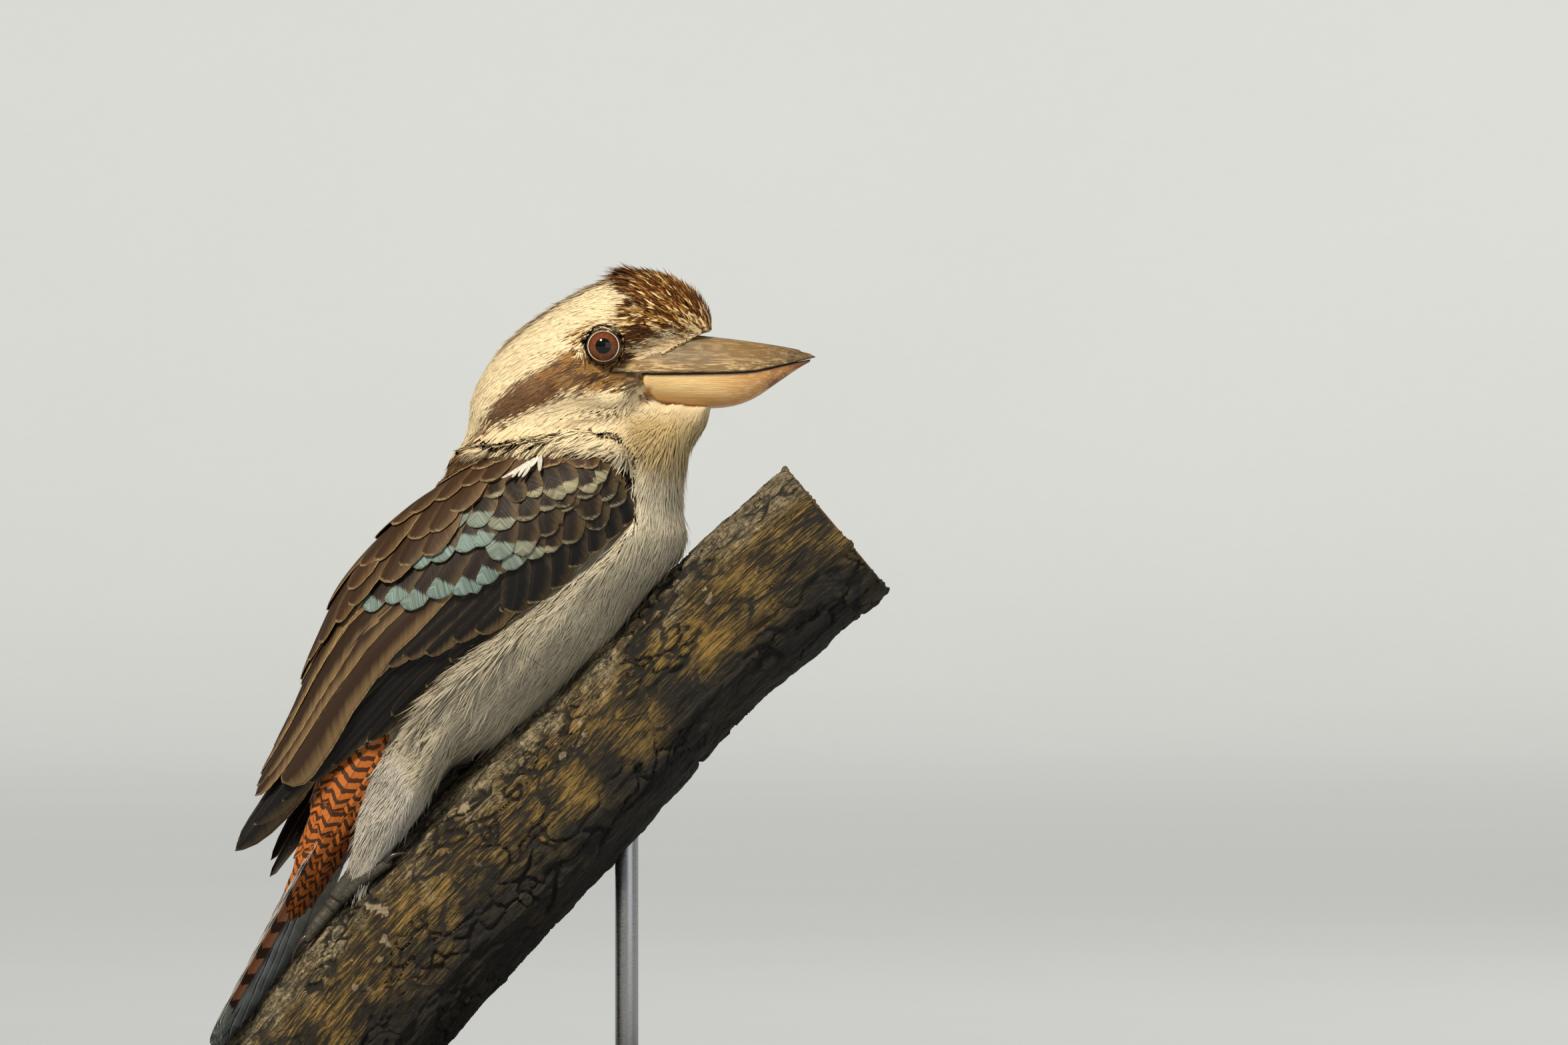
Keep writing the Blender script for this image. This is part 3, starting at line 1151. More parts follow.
def make_vanes(name, at, feathers, rows, seed):
    """A joined mesh of thin closed vanes on the sheet at(s, phi, lift). Each feather is a dict with its root
    and tip on the sheet, lifts, half width, tilt and the colours of its upper and lower faces."""
    draw = np.random.default_rng(seed)
    number_of = len(feathers)
    field = lambda key: np.array([f[key] for f in feathers], float)
    root, tip = field("root"), field("tip")
    share = 1 - (1 - np.linspace(0, 1, rows)) ** 1.5
    t = np.broadcast_to(share, (number_of, rows))
    bow = field("bow")[:, None] * np.sin(math.pi * t)
    s = root[:, :1] + (tip[:, :1] - root[:, :1]) * t
    phi = np.radians(root[:, 1:] + (tip[:, 1:] - root[:, 1:]) * t + bow)
    lift = field("low")[:, None] + (field("high") - field("low"))[:, None] * t**1.5
    step, turn = 0.5, 0.01
    along_s = (at(s + step, phi, lift) - at(s - step, phi, lift)) / (2 * step)
    along_phi = (at(s, phi + turn, lift) - at(s, phi - turn, lift)) / (2 * turn)
    run_s, run_phi = np.gradient(s, axis=1), np.gradient(phi, axis=1)
    way = along_s * run_s[..., None] + along_phi * run_phi[..., None]
    across = unit(np.cross(np.cross(along_s, along_phi), way))
    size_s = (along_s**2).sum(-1)
    size_phi = (along_phi**2).sum(-1)
    width = vane_width(t, field("round")[:, None], field("power")[:, None], field("base")[:, None])
    half = field("wide")[:, None] * width
    uneven = 1 + 0.035 * draw.normal(0, 1, (number_of, rows, 2))
    reach = half[..., None] * COLUMNS
    reach = np.where(COLUMNS < 0, reach * uneven[..., :1], reach * uneven[..., 1:])
    s1 = s[..., None] + (across * along_s).sum(-1)[..., None] * reach / size_s[..., None]
    phi1 = phi[..., None] + (across * along_phi).sum(-1)[..., None] * reach / size_phi[..., None]
    camber = field("camber")[:, None, None] * COLUMNS**2
    shaft = SHAFT * (np.abs(COLUMNS) < 0.05) * (1 - 0.7 * t)[..., None]
    thick = VANE_EDGE + (VANE_MIDDLE - VANE_EDGE) * (1 - COLUMNS**2)
    base_lift = lift[..., None] + field("tilt")[:, None, None] * reach - camber
    upper = at(s1, phi1, base_lift + thick + shaft)
    lower = at(s1, phi1, base_lift)
    columns = len(COLUMNS)
    grid = np.concatenate([upper.reshape(number_of, -1, 3), lower.reshape(number_of, -1, 3)], axis=1)
    under = rows * columns
    quads = []
    for r in range(rows - 1):
        for c in range(columns - 1):
            a, b = r * columns + c, r * columns + c + 1
            quads.append((a, b, b + columns, a + columns))
            quads.append((under + b, under + a, under + a + columns, under + b + columns))
    rim = [c for c in range(columns)] + [r * columns + columns - 1 for r in range(1, rows)]
    rim += [(rows - 1) * columns + c for c in range(columns - 2, -1, -1)]
    rim += [r * columns for r in range(rows - 2, 0, -1)]
    for a, b in zip(rim, rim[1:] + rim[:1]):
        quads.append((b, a, under + a, under + b))
    piece = from_arrays(name, grid.reshape(-1, 3), repeated(quads, number_of, grid.shape[1]))
    mesh = piece.data
    each = rows * columns

    def per_vertex(upper_values, lower_values):
        return np.repeat(np.stack([upper_values, lower_values], axis=1), each, axis=1)

    for label, over, below in (("Ground", "ground", "ground_under"), ("Tip", "tip_tone", "tip_tone"),
                               ("Edge", "edge_tone", "edge_tone")):
        paint(mesh, label, per_vertex(field(over), field(below)).reshape(-1, 3))
    for label, over, below in (("Band", "band", "band"), ("Fringe", "fringe", "fringe"),
                               ("Bars", "bars", "bars"), ("Barred", "barred", "barred_under")):
        number(mesh, label, per_vertex(field(over), field(below)))
    seeds = draw.random(number_of)
    number(mesh, "Seed", per_vertex(seeds, seeds))
    length = np.cumsum(np.linalg.norm(np.diff(upper[:, :, columns // 2], axis=1), axis=-1), axis=1)
    length = np.concatenate([np.zeros((number_of, 1)), length], axis=1)
    from_tip = (length[:, -1:] - length)[..., None] + 0.0 * COLUMNS
    rounding = 0.42 * field("wide")[:, None, None] * COLUMNS**2 * (1 - width[..., None])
    along = (from_tip - rounding) / MAP_MM
    aside = np.broadcast_to((COLUMNS + 1) / 2, along.shape)
    vane_map = np.stack([aside, np.clip(along, 0, 1)], axis=-1).reshape(number_of, -1, 2)
    map_points(mesh, "Vane", np.concatenate([vane_map, vane_map], axis=1).reshape(-1, 2))
    across_map = np.broadcast_to(reach / MAP_MM + 0.5, along.shape)
    barb_map = np.stack([across_map, along], axis=-1).reshape(number_of, -1, 2)
    map_points(mesh, "Barbs", np.concatenate([barb_map, barb_map], axis=1).reshape(-1, 2))
    cells = math.ceil(2 * number_of / ATLAS_COLUMNS)
    cell = np.arange(2 * number_of).reshape(number_of, 2)
    corner = np.stack([(cell % ATLAS_COLUMNS) / ATLAS_COLUMNS, (cell // ATLAS_COLUMNS) / cells], axis=-1)
    inner = np.stack([aside * 0.9 + 0.05, np.broadcast_to(t[..., None] * 0.9 + 0.05, aside.shape)], axis=-1)
    inner = inner.reshape(number_of, 1, each, 2) * np.array([1 / ATLAS_COLUMNS, 1 / cells])
    map_points(mesh, "OFBake", (corner[:, :, None] + inner).reshape(-1, 2))
    return piece


def barb_group():
    """Barbs of a vane: fine slanted lines on both sides of the shaft, as a height and a tone."""
    if "Barbs" in bpy.data.node_groups:
        return bpy.data.node_groups["Barbs"]
    tree, w, given, made = new_group(
        "Barbs",
        [("Map", VECTOR_SOCKET), ("Seed", NUMBER_SOCKET), ("Spacing", NUMBER_SOCKET)],
        [("Height", NUMBER_SOCKET), ("Clumps", NUMBER_SOCKET)],
    )
    across, along, _ = w.parts(given["Map"])
    aside = w.math("ABSOLUTE", w.sub(across, 0.5))
    slanted = w.add(along, w.mul(aside, 1.25))
    spot = {0: w.mul(slanted, given["Spacing"]), 1: w.mul(aside, 12.0), 2: w.mul(given["Seed"], 50.0)}
    joined = w.node("ShaderNodeCombineXYZ", spot).outputs[0]
    w.join(w.noise(joined, 1.0, 1.0), made["Height"])
    w.join(w.noise(joined, 0.16, 2.0), made["Clumps"])
    return tree


def vane_material(name, bar_tone, barb_dark):
    """Feather vanes: ground colour, dark bars, pale tip band, thin pale fringe, shaft and barbs."""
    material, w = new_material(name, roughness=0.6, Specular_IOR_Level=0.25)
    across, along, _ = w.parts(w.uv("Vane"))
    aside = w.math("ABSOLUTE", w.sub(w.mul(across, 2.0), 1.0))
    from_tip = w.mul(along, MAP_MM)
    barbs = use_group(w, barb_group(), Map=w.uv("Barbs"), Seed=w.value("Seed"), Spacing=420.0)
    height, clumps = barbs["Height"], barbs["Clumps"]
    ragged = w.mul(w.sub(clumps, 0.5), 2.2)
    partial = w.ramp(clumps, 0.36, 0.56, 0.3, 1.0)
    fine = w.mul(w.sub(height, 0.5), 2.4)
    edge_of_tip = w.add(w.add(from_tip, ragged), fine)
    band = w.value("Band")
    tone = w.mix(w.ramp(height, 0.3, 0.75, 0.0, barb_dark), w.attribute("Ground"), BARB_SHADE)
    warm = w.mul(w.ramp(w.add(aside, w.mul(clumps, 0.5)), 0.55, 1.25),
                  w.mul(w.value("Fringe"), 0.3))
    tone = w.mix(warm, tone, w.attribute("Edge"))
    wave = w.mul(w.sub(1.0, aside), 3.2)
    phase = w.add(w.add(from_tip, wave), w.add(ragged, w.mul(w.value("Seed"), 6.0)))
    bars = w.value("Bars")
    swing = w.math("SINE", w.math("DIVIDE", w.mul(phase, 6.2832), w.most(bars, 0.01)))
    barred = w.mul(w.ramp(swing, 0.05, 0.4), w.value("Barred"))
    tone = w.mix(barred, tone, bar_tone)
    in_band = w.mul(w.ramp(edge_of_tip, w.add(band, 0.9), w.sub(band, 0.7)),
                     w.math("GREATER_THAN", band, 0.05))
    shaft = w.mul(w.ramp(aside, 0.09, 0.03), 0.45)
    tone = w.mix(shaft, tone, SHAFT_TONE)
    in_band = w.mul(in_band, w.most(partial, w.ramp(band, 1.4, 2.4)))
    worn = w.ramp(w.add(height, w.mul(clumps, 0.6)), 0.45, 1.0, 0.0, 0.75)
    tip_tone = w.mix(worn, w.attribute("Tip"), WORN_TONE)
    tone = w.mix(in_band, tone, tip_tone)
    fringe = w.mul(w.ramp(w.add(aside, w.mul(fine, 0.04)), 0.93, 0.99),
                    w.mul(w.value("Fringe"), partial))
    tone = w.mix(fringe, tone, w.attribute("Edge"))
    w.show(tone)
    w.show(w.ramp(height, 0.3, 0.7, 0.5, 0.7), "Roughness")
    w.show(w.bump(w.add(height, clumps), 0.32, 0.0004), "Normal")
    return material


PLAIN_FEATHER = {
    "bow": 0.0, "low": 0.4, "high": 0.6, "wide": 7.0, "tilt": 0.0, "camber": 0.5, "round": 0.72, "power": 2.2,
    "base": 0.55, "band": 0.0, "fringe": 0.5, "bars": 5.0, "barred": 0.0, "barred_under": 0.0,
}


def feather(root, tip, ground, tip_tone=None, edge_tone=None, under=None, **values):
    """The sizes and colours of one feather."""
    ground = tuple(ground)
    return {
        **PLAIN_FEATHER, "root": root, "tip": tip, "ground": ground, "tip_tone": tuple(tip_tone or ground),
        "edge_tone": tuple(edge_tone or ground), "ground_under": tuple(under or ground), **values,
    }


def between(pairs, share):
    """A pair a share of the way along a list of pairs, evenly spaced."""
    place = share * (len(pairs) - 1)
    i = min(int(place), len(pairs) - 2)
    rest = place - i
    return tuple(a * (1 - rest) + b * rest for a, b in zip(pairs[i], pairs[i + 1]))


# Rows of a wing in the side view: half width, where the tip starts to round, strength of the pale edge, lifts
# at root and tip of the first and last feather, and places along the wing and above its line, from the front
# feather to the back one, for roots and for tips.
ROW_FIELDS = ("name", "count", "wide", "round", "fringe", "lifts", "roots", "tips")
WING_ROWS = [
    ("primary", 10, 5.0, 0.84, 0.3, [(0.5, 1.4), (2.6, 2.8)], [(40, 4), (46, 0), (70, -4)],
     [(229, 0), (222, 4), (208, 3), (190, 0), (172, -2), (150, -3), (128, -2), (106, -3)]),
    ("secondary", 11, 6.8, 0.82, 0.75, [(3.4, 4.4), (3.4, 4.6)], [(20, 3), (45, 14), (66, 34)],
     [(76, 0), (97, 3), (116, 10), (128, 17), (144, 20), (160, 24), (172, 24)]),
    ("tertial", 8, 6.6, 0.84, 0.9, [(4.6, 5.2), (5.4, 6.4)], [(60, 22), (66, 36), (74, 50)],
     [(196, 9), (207, 12), (200, 17), (190, 22), (178, 28), (166, 35), (150, 43)]),
    ("carpal", 8, 8.0, 0.62, 0.3, [(4.4, 4.8), (4.4, 5.0)], [(-5, 8), (20, 10), (52, 14)],
     [(2, -4), (12, -9), (24, -10), (37, -9), (50, -8), (62, -6), (76, -3)]),
    ("greater", 12, 7.2, 0.6, 0.4, [(5.4, 6.2), (5.4, 6.6)], [(2, 14), (40, 24), (80, 46)],
     [(12, -3), (24, -3), (35, 1), (44, 4), (57, 7), (70, 12), (84, 17), (94, 22), (103, 28), (112, 34),
      (120, 38)]),
    ("median", 10, 7.4, 0.55, 0.4, [(6.6, 7.4), (6.6, 7.8)], [(-2, 18), (30, 34), (58, 50)],
     [(10, 3), (22, 5), (33, 8), (44, 11), (55, 14), (62, 22), (70, 28), (80, 33), (90, 36)]),
    ("median", 8, 6.8, 0.55, 0.45, [(7.8, 8.4), (7.6, 8.4)], [(0, 24), (26, 38), (54, 54)],
     [(16, 9), (27, 13), (38, 18), (48, 24), (58, 30), (68, 36), (78, 40)]),
    ("lesser", 8, 6.4, 0.52, 0.5, [(9.0, 9.8), (8.6, 9.4)], [(-5, 24), (12, 42), (34, 55)],
     [(5, 8), (12, 12), (22, 18), (31, 25), (40, 34)]),
    ("small", 8, 5.8, 0.5, 0.55, [(10.0, 10.8), (9.6, 10.4)], [(-6, 26), (6, 42), (24, 54)],
     [(-1, 15), (6, 20), (14, 27), (23, 34), (33, 43)]),
    ("small", 7, 5.4, 0.5, 0.6, [(10.8, 11.6), (10.6, 11.4)], [(-6, 27), (4, 44), (18, 52)],
     [(-3, 22), (4, 28), (13, 36), (24, 45)]),
    ("scapular", 8, 8.6, 0.64, 0.45, [(8.6, 9.4), (7.0, 7.6)], [(46, 50), (66, 56), (84, 60)],
     [(82, 40), (98, 41), (116, 43), (134, 43), (150, 41), (160, 40)]),
    ("scapular", 7, 8.6, 0.6, 0.45, [(9.8, 10.6), (8.6, 9.2)], [(30, 49), (50, 57), (70, 62)],
     [(62, 43), (78, 46), (96, 50), (112, 52), (128, 53)]),
    ("scapular", 6, 8.2, 0.58, 0.4, [(10.8, 11.6), (10.2, 10.8)], [(16, 46), (34, 54), (52, 61)],
     [(44, 45), (60, 50), (78, 57), (94, 61)]),
    ("stray", 7, 0.9, 0.3, 0.0, [(12.8, 13.2), (13.0, 13.8)], [(18, 37), (26, 39)],
     [(25, 33), (33, 36), (36, 41)]),
    ("scapular", 5, 7.0, 0.56, 0.75, [(11.6, 12.4), (11.4, 12.0)], [(4, 40), (18, 50), (34, 57)],
     [(28, 46), (42, 52), (58, 60)]),
]


def wing_feathers(wing, seed):
    """All vanes of one wing, coloured by row."""
    draw = np.random.default_rng(seed)
    made = []
    for values in WING_ROWS:
        row = dict(zip(ROW_FIELDS, values))
        for i in range(row["count"]):
            share = i / (row["count"] - 1)
            (rs, rw), (ts, tw) = between(row["roots"], share), between(row["tips"], share)
            low, high = between(row["lifts"], share)
            ts += draw.normal(0, 2.0)
            tw += draw.normal(0, 1.2)
            vary = 1 + draw.normal(0, 0.10)
            name = row["name"]
            ground = {"primary": wing.primary, "secondary": wing.flight, "tertial": wing.tertial,
                      "scapular": wing.scapular, "small": wing.scapular, "carpal": wing.primary,
                      "stray": wing.stray}.get(name, wing.covert)
            tip_tone, band = wing.edge, 0.0 if name == "stray" else 0.6
            blue = min(max((ts - 44) / 22, 0), 1)
            if name in ("greater", "median", "lesser"):
                tip_tone = tuple(blend(wing.buff, wing.blue, blue))
                tw += draw.normal(0, 1.2)
            if name in ("greater", "median"):
                band = 1.2 + 7.2 * min(max((ts - 40) / 22, 0), 1) + draw.normal(0, 0.8)
                band *= 0.7 if ts > 110 else 1.0
            if name == "lesser":
                band = (4.6 if 3 < ts < 36 else 1.2) + draw.normal(0, 0.8)
            if name == "small":
                band = 0.9
            root = (rs, float(phi_at(rs, rw, low)))
            tip = (ts, float(phi_at(ts, tw, high)))
            made.append(feather(
                root, tip, ground * vary, tip_tone, wing.edge, low=low, high=high,
                wide=row["wide"] * (1 + draw.normal(0, 0.06)), tilt=-0.08, round=row["round"],
                fringe=row["fringe"], band=band, bow=draw.normal(0, 0.9),
                power=1.9 if name == "primary" else 2.3,
            ))
    return made


ARM = {"from": -6.0, "to": 96.0, "shelf": 3.0, "high": 5.6, "rise": 0.165, "fall": 0.066}


def arm_points(side):
    """Places the fleshy part of a closed wing, from its inner face to the shelf that carries the rows."""
    def place(u, v):
        s = ARM["from"] + (ARM["to"] - ARM["from"]) * v
        over = u < 0.5
        share = np.where(over, u * 2, 2 - u * 2)
        low, high = read(WING, s, "from"), read(WING, s, "to") - 4
        phi = low + (high - low) * share
        ramp = ARM["high"] + ARM["rise"] * phi - ARM["fall"] * s
        full = np.clip(ramp, ARM["shelf"], read(WING, s, "thick") - 1.6)
        shut = np.sqrt(np.clip(np.minimum((s - ARM["from"]) / 8, (ARM["to"] - s) / 14), 0, 1))
        rim = np.sqrt(np.clip(np.minimum(share, 1 - share) / 0.1, 0, 1))
        lift = np.where(over, full * shut * rim, 0.0)
        return wing_point(side, s, np.radians(phi), lift * edge_drop(s, np.radians(phi)))
    return place


class KOOKABURRA_OT_wings(bpy.types.Operator):
    """Make the feathers of both wings"""

    bl_idname = "kookaburra.wings"
    bl_label = "Wings"

    def execute(self, context):
        wing = context.scene.kookaburra_wing
        coat = context.scene.kookaburra_coat
        material = vane_material("wing vanes", colour("#1c120b"), 0.3)
        plain, _ = mottled("wing down", coat.mantle, 70.0, 1200.0, 0.25, (0.5, 0.0008), roughness=0.8)
        for side, seed in (("right", 71), ("left", 72)):
            feathers = wing_feathers(wing, seed)
            at = lambda s, phi, lift, side=side: wing_point(side, s, phi, lift * edge_drop(s, phi))
            piece = make_vanes(f"wing_{side}_feathers", at, feathers, 16, seed + 10)
            finish_piece(piece, material, "wing_feather", f"wing_{side}")
            arm = wrapped_grid(f"wing_{side}_arm", 40, 40, arm_points(side))
            finish_piece(arm, plain, "wing_feather")
        return {"FINISHED"}


# Tail
TAIL_WAY = np.array([-math.cos(TAIL_SLOPE), 0.0, -math.sin(TAIL_SLOPE)])
LEVEL_RIGHT = np.array([0.0, -1.0, 0.0])
TAIL_RIGHT = LEVEL_RIGHT * math.cos(TAIL_ROLL) + np.cross(TAIL_WAY, LEVEL_RIGHT) * math.sin(TAIL_ROLL)
TAIL_BACK = np.cross(TAIL_WAY, TAIL_RIGHT)


def tail_point(s, spread, lift):
    across = (s + TAIL_FAN) * np.sin(spread)
    rise = lift - TAIL_CURVE * across**2
    return (
        TAIL_ROOT + TAIL_WAY * s[..., None] + TAIL_RIGHT * across[..., None] + TAIL_BACK * rise[..., None]
    )


RECTRICES = 12
TAIL_SPREAD = 11.0


def tail_feathers(tail, seed):
    """The long tail feathers with their bars."""
    draw = np.random.default_rng(seed)
    made = []
    half = (RECTRICES - 1) / 2
    for i in range(RECTRICES):
        out = (i - half) / half
        level = abs(i - half) - 0.5
        spread = out * TAIL_SPREAD / 2
        long = TAIL_LONG * (1 - 0.085 * abs(out) ** 1.6) + draw.normal(0, 0.8)
        outer = abs(out)
        ground = blend(tail.rufous, tail.pale, outer)
        stained = 0.92 if out > 0.7 else 0.0
        under = tuple(blend(tail.pale, tail.rufous, stained))
        made.append(feather(
            (14, spread * 0.3), (long, spread), ground, tail.pale, tail.pale, under=under,
            low=1.6 - 1.0 * level, high=1.8 - 1.05 * level, wide=9.6, camber=0.4, round=0.9, power=2.4,
            band=9.0, fringe=0.5, bars=13.0, barred=1.0, barred_under=0.9 if stained else 0.2, base=0.3,
        ))
    return made


COVER = {
    "s": [-16, 6, 26, 46, 62, 84, 110], "wide": [14, 15.5, 14.8, 13.4, 12.2, 9.5, 6],
    "high": [13.5, 13, 9.2, 6.2, 4.4, 2.8, 1.6],
}
COVERT_FIELDS = ("count", "root", "tip", "from", "to", "lift")
COVERT_ROWS = [
    (11, 26, 74, -172, -4, 0.4),
    (13, 14, 62, -180, 6, 1.3),
    (15, 4, 50, -190, 16, 2.2),
    (18, -8, 38, -200, 140, 3.1),
    (18, -14, 26, -200, 140, 4.0),
    (10, 6, 58, 12, 168, 1.4),
]


def round_stem(s, turn, wide, high):
    """A place round the line of the tail's stem, on an oval of these half sizes."""
    middle = tail_point(s, np.zeros_like(s), high * np.sin(turn) - 1.5)
    return middle + TAIL_RIGHT * (wide * np.cos(turn))[..., None]


def covert_point(s, turn, lift):
    """A place on the sheet of the tail coverts, which wraps round the stem."""
    wide, high = (size + lift for size in read_all(COVER, s, "wide", "high"))
    return round_stem(s, turn, wide, high)


def tail_coverts(tail, seed):
    """The barred coverts round the root of the tail."""
    draw = np.random.default_rng(seed)
    made = []
    for values in COVERT_ROWS:
        row = dict(zip(COVERT_FIELDS, values))
        for i in range(row["count"]):
            turn = row["from"] + (row["to"] - row["from"]) * (i + draw.normal(0, 0.12)) / (row["count"] - 1)
            tip = row["tip"] * (0.86 + 0.14 * math.cos(math.radians(turn + 60))) + draw.normal(0, 2.0)
            vary = 1 + draw.normal(0, 0.08)
            lift = row["lift"] + 0.4 * (i % 2)
            made.append(feather(
                (row["root"], turn), (tip, turn + draw.normal(0, 3)), tail.rufous * vary, tail.rufous,
                [c * 0.8 + 0.1 for c in tail.rufous], low=lift, high=lift + 0.5, wide=6.4, camber=0.5,
                round=0.55, power=2.0, fringe=0.15, bars=5.4, barred=0.9, barred_under=0.9, base=0.7,
            ))
    return made


STEM = {"s": [-12, 6, 26, 46, 52], "wide": [14, 14.5, 11.5, 7.5, 1], "high": [13, 12.5, 7.4, 2.8, 0.5]}


def stem_points(u, v):
    s = STEM["s"][0] + (STEM["s"][-1] - STEM["s"][0]) * v
    shut = np.sqrt(np.clip(v / 0.08, 0, 1))
    wide, high = (size * shut for size in read_all(STEM, s, "wide", "high"))
    return round_stem(s, 2 * math.pi * u, wide, high)


class KOOKABURRA_OT_tail(bpy.types.Operator):
    """Make the tail feathers and the coverts round their roots"""

    bl_idname = "kookaburra.tail"
    bl_label = "Tail"

    def execute(self, context):
        tail = context.scene.kookaburra_tail
        material = vane_material("tail vanes", tail.bar, 0.25)
        piece = make_vanes("tail_feathers", tail_point, tail_feathers(tail, 81), 20, 82)
        finish_piece(piece, material, "tail_feather", "tail")
        coverts = make_vanes("tail_coverts", covert_point, tail_coverts(tail, 83), 14, 84)
        finish_piece(coverts, material, "tail_feather")
        stem = wrapped_grid("tail_stem", 32, 20, stem_points)
        plain, _ = mottled("tail down", tail.rufous, 120.0, 1200.0, 0.3, roughness=0.8)
        finish_piece(stem, plain, "tail_feather")
        return {"FINISHED"}


# Bill
NOSTRIL = {"x": 68.0, "z": 335.3, "long": 3.6, "high": 1.1, "deep": 1.6, "slope": math.radians(8)}
BILL_GAP = 0.4
LOWER_FROM = 43.0
SEAM_TONE = (0.012, 0.007, 0.004)


def bill_half(upper):
    """Places one half of the bill, open underneath at the line of the mouth and closed by a flat roof."""
    way = 1 if upper else -1
    start, end = BILL["x"][0] if upper else LOWER_FROM, BILL["x"][-1]

    def place(u, v):
        x = start + (end - start) * np.minimum(v * 1.02, 1)
        tip = v > 0.985
        high = np.abs(read(BILL, x, "culmen" if upper else "keel") - read(BILL, x, "mouth"))
        wide = read(BILL, x, "wide") if upper else (read(BILL, x, "wide") - 0.5) * soft_step(38, 49, x)
        mouth = read(BILL, x, "mouth") + way * BILL_GAP / 2
        arch = u < 0.72
        turn = math.pi * np.where(arch, u / 0.72, (1 - u) / 0.28)
        side = np.sign(np.cos(turn)) * np.abs(np.cos(turn)) ** 0.8
        rise = np.where(arch, high * np.sin(turn) ** 0.92, way * 0.12 * high * np.sin(turn))
        ridge = 0.5 * np.exp(-((side * wide) / 1.6) ** 2) * arch * upper
        y = wide * side
        z = mouth + way * (rise + ridge * (high > 4))
        if upper:
            turned = math.cos(NOSTRIL["slope"]), math.sin(NOSTRIL["slope"])
            along = (x - NOSTRIL["x"]) * turned[0] - (z - NOSTRIL["z"]) * turned[1]
            off = (x - NOSTRIL["x"]) * turned[1] + (z - NOSTRIL["z"]) * turned[0]
            dent = np.exp(-((along / NOSTRIL["long"]) ** 4) - (off / NOSTRIL["high"]) ** 2) * arch
            y = y - np.sign(y) * NOSTRIL["deep"] * dent
        final_x, final_z = (BILL_TIP[0], BILL_TIP[1]) if upper else (end + 0.4, BILL_TIP[1] - 1.0)
        x, y, z = np.where(tip, final_x, x), np.where(tip, 0, y), np.where(tip, final_z, z)
        return np.stack([x, y, z], axis=1)
    return place


def horn_group():
    """Worn horn: long scratches along the bill, pale wear and brown dirt, as a colour and a height."""
    tree, w, given, made = new_group(
        "Horn",
        [("Colour", COLOUR_SOCKET), ("Worn", COLOUR_SOCKET), ("Dirt", COLOUR_SOCKET),
         ("Wear", NUMBER_SOCKET), ("Dirty", NUMBER_SOCKET), ("Vector", VECTOR_SOCKET)],
        [("Colour", COLOUR_SOCKET), ("Height", NUMBER_SOCKET), ("Dirt", NUMBER_SOCKET)],
    )
    vector = given["Vector"]
    long_ways = w.stretched(vector, (26, 800, 1500), rotation=(0, math.radians(3), 0))
    scratch = w.noise(long_ways, 1.0, 5.0, 0.62)
    patch = w.noise(vector, 130.0, 5.0, 0.65)
    wear = w.mul(w.ramp(w.add(scratch, w.mul(w.sub(patch, 0.5), 0.3)), 0.45, 0.62), given["Wear"])
    tone = w.mix(wear, given["Colour"], given["Worn"])
    spread = w.add(w.sub(patch, 0.5), given["Dirty"])
    dirty = w.ramp(spread, 0.42, 0.62)
    tone = w.mix(w.mul(dirty, 0.85), tone, given["Dirt"])
    w.join(tone, made["Colour"])
    w.join(w.add(scratch, patch), made["Height"])
    w.join(dirty, made["Dirt"])
    return tree


class KOOKABURRA_OT_bill(bpy.types.Operator):
    """Make both halves of the bill"""

    bl_idname = "kookaburra.bill"
    bl_label = "Bill"

    def execute(self, context):
        bill = context.scene.kookaburra_bill
        group = horn_group()
        for upper in (True, False):
            name = "bill_upper_horn" if upper else "bill_lower_horn"
            piece = wrapped_grid(name, 64, 96, bill_half(upper))
            at = positions(piece.data)
            off = np.abs(at[:, 2] - read(BILL, at[:, 0], "mouth"))
            number(piece.data, "Seam", soft_step(1.0, 0.3, off))
            material, w = new_material(name.replace("_", " "), roughness=0.4)
            place = w.place()
            along, _, rise = w.parts(place)
            to_tip = w.ramp(along, 0.076, 0.118)
            if upper:
                near_mouth = w.ramp(rise, 0.3315, 0.3262)
                golden = w.most(w.mul(near_mouth, 0.8), w.ramp(along, 0.058, 0.1))
                ground = w.mix(golden, bill.horn, bill.gilt)
                ground = w.mix(w.mul(to_tip, 0.7), ground, colour("#4f3a1c"))
                wear = w.add(0.3, w.mul(near_mouth, 0.6))
                dirty = w.add(0.14, w.mul(to_tip, 0.36))
                horn = use_group(w, group, Colour=ground, Worn=bill.worn, Dirt=colour("#3d2715"),
                                 Wear=wear, Dirty=dirty, Vector=place)
            else:
                under = w.ramp(rise, 0.3185, 0.3115)
                farther = w.ramp(along, 0.064, 0.1)
                both = w.most(w.mul(to_tip, 0.5), w.mul(under, 0.24))
                base = w.mul(w.ramp(along, 0.061, 0.05), 0.3)
                dirty = w.add(0.14, w.most(both, base))
                ripe = w.most(under, farther)
                ground = w.mix(w.mul(ripe, 0.85), bill.peach, bill.ripe)
                ground = w.mix(w.mul(to_tip, 0.5), ground, bill.dirt)
                horn = use_group(w, group, Colour=ground, Worn=colour("#ecd09a"),
                                 Dirt=bill.dirt, Wear=0.35, Dirty=dirty, Vector=place)
            seam = w.mul(w.value("Seam"), 0.92)
            w.show(w.mix(seam, horn["Colour"], SEAM_TONE))
            w.show(w.ramp(horn["Dirt"], 0.0, 1.0, 0.27, 0.55), "Roughness")
            w.show(w.bump(horn["Height"], 0.6, 0.0007), "Normal")
            finish_piece(piece, material, "bill_dark" if upper else "bill_pale",
                         "bill_upper" if upper else "bill_lower")
        return {"FINISHED"}


# Eyes
PUPIL_TONE = (0.004, 0.003, 0.003)
